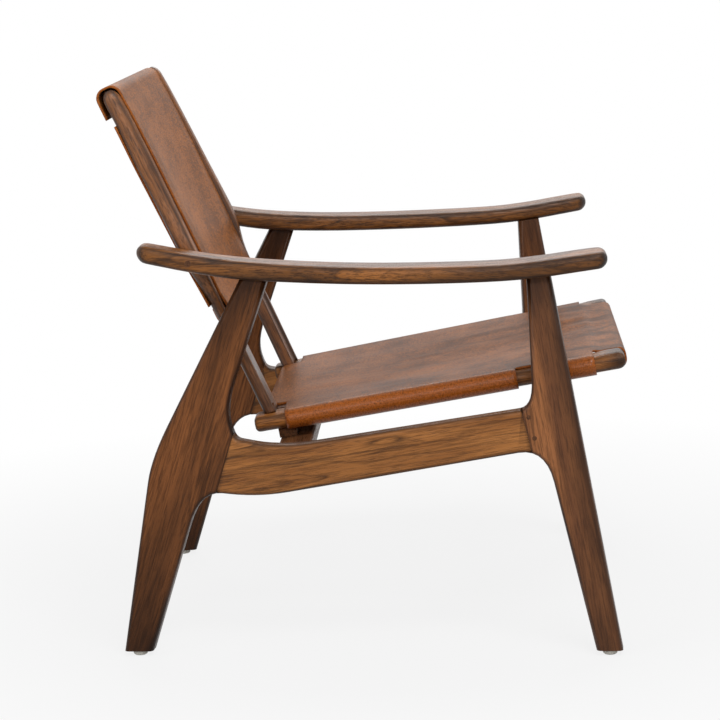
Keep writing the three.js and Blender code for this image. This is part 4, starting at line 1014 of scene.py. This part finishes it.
def rear_spot(row, column):
    at = rear_heights[row]
    return Vector((stile_face(at, 1) - STAND_OFF, back_columns[column] * PANEL_HALF, at))


size, node = (len(rear_heights), len(back_columns)), "back_rear_panel"
lay_leather("rear_panel", node, size, whole, rear_spot, back_place, hides)

# %% [markdown]
# ## Studio
# A pale floor that turns to plain white away from the chair. A broad light stands high on the
# near side, a long strip beside the camera gives the gloss, a soft light fills in from behind the
# sitter, and a wide one shines across from the far side. The world is plain white to the eye and
# in gloss, and dimmer where it only lights the chair.

# %% Floor
def only_seen(tree):
    """One for rays from the camera, in gloss or through glass, and nought for other light."""
    path = wire(tree, "ShaderNodeLightPath").outputs
    seen = math_node(tree, "MAXIMUM", path["Is Camera Ray"], path["Is Glossy Ray"])
    return math_node(tree, "MAXIMUM", seen, path["Is Transmission Ray"])


bm = bmesh.new()
bmesh.ops.create_grid(bm, x_segments=8, y_segments=8, size=15.0)
mesh = bpy.data.meshes.new("studio_floor")
bm.to_mesh(mesh)
bm.free()
floor = bpy.data.objects.new("studio_floor", mesh)
scene.collection.objects.link(floor)
paper = bpy.data.materials.new("studio_paper")
paper.use_nodes = True
tree = paper.node_tree
shader = tree.nodes["Principled BSDF"]
shader.inputs["Base Color"].default_value = (0.45, 0.45, 0.45, 1)
shader.inputs["Roughness"].default_value = 0.9
shader.inputs["Specular IOR Level"].default_value = 0.1
glow = wire(tree, "ShaderNodeEmission", {"Color": (1, 1, 1, 1), "Strength": 1.0})
spot = wire(tree, "ShaderNodeTexCoord").outputs["Object"]
distance = wire(tree, "ShaderNodeVectorMath", {0: spot}, operation="LENGTH").outputs["Value"]
fade = {"From Min": 0.5, "From Max": 1.4, "To Min": 0.84, "To Max": 1.0}
far = wire(tree, "ShaderNodeMapRange", {"Value": distance, **fade}).outputs[0]
mixed = wire(tree, "ShaderNodeMixShader", {0: times(tree, far, only_seen(tree))})
tree.links.new(shader.outputs[0], mixed.inputs[1])
tree.links.new(glow.outputs[0], mixed.inputs[2])
tree.links.new(mixed.outputs[0], tree.nodes["Material Output"].inputs[0])
floor.data.materials.append(paper)
print("floor ready")

# %% World and lights
world = bpy.data.worlds.new("studio_world")
scene.world = world
world.use_nodes = True
tree = world.node_tree
soft = tree.nodes["Background"]
soft.inputs[0].default_value = (0.97, 0.98, 1.0, 1)
soft.inputs[1].default_value = 0.4
white = wire(tree, "ShaderNodeBackground", {0: (1, 1, 1, 1), 1: 1.0})
mixed = wire(tree, "ShaderNodeMixShader", {0: only_seen(tree)})
tree.links.new(soft.outputs[0], mixed.inputs[1])
tree.links.new(white.outputs[0], mixed.inputs[2])
tree.links.new(mixed.outputs[0], tree.nodes["World Output"].inputs[0])


def area_light(name, place, target, size, power):
    data = bpy.data.lights.new(name, "AREA")
    data.shape = "RECTANGLE"
    data.size, data.size_y = size
    data.energy = power
    lamp = bpy.data.objects.new(name, data)
    scene.collection.objects.link(lamp)
    aim = (Vector(target) - Vector(place)).to_track_quat("-Z", "Y")
    lamp.matrix_world = Matrix.Translation(place) @ aim.to_matrix().to_4x4()


area_light("key_light", (0.9, -1.9, 3.0), (0, 0, 0.4), (1.6, 1.0), 62.0)
area_light("strip_light", (-0.3, -3.4, 1.75), (0, -0.3, 0.4), (2.6, 0.3), 24.0)
area_light("fill_light", (-2.4, -1.8, 1.6), (0, 0, 0.4), (1.8, 1.8), 14.0)
area_light("back_light", (0.2, 2.4, 2.2), (0, 0, 0.45), (2.6, 1.0), 34.0)
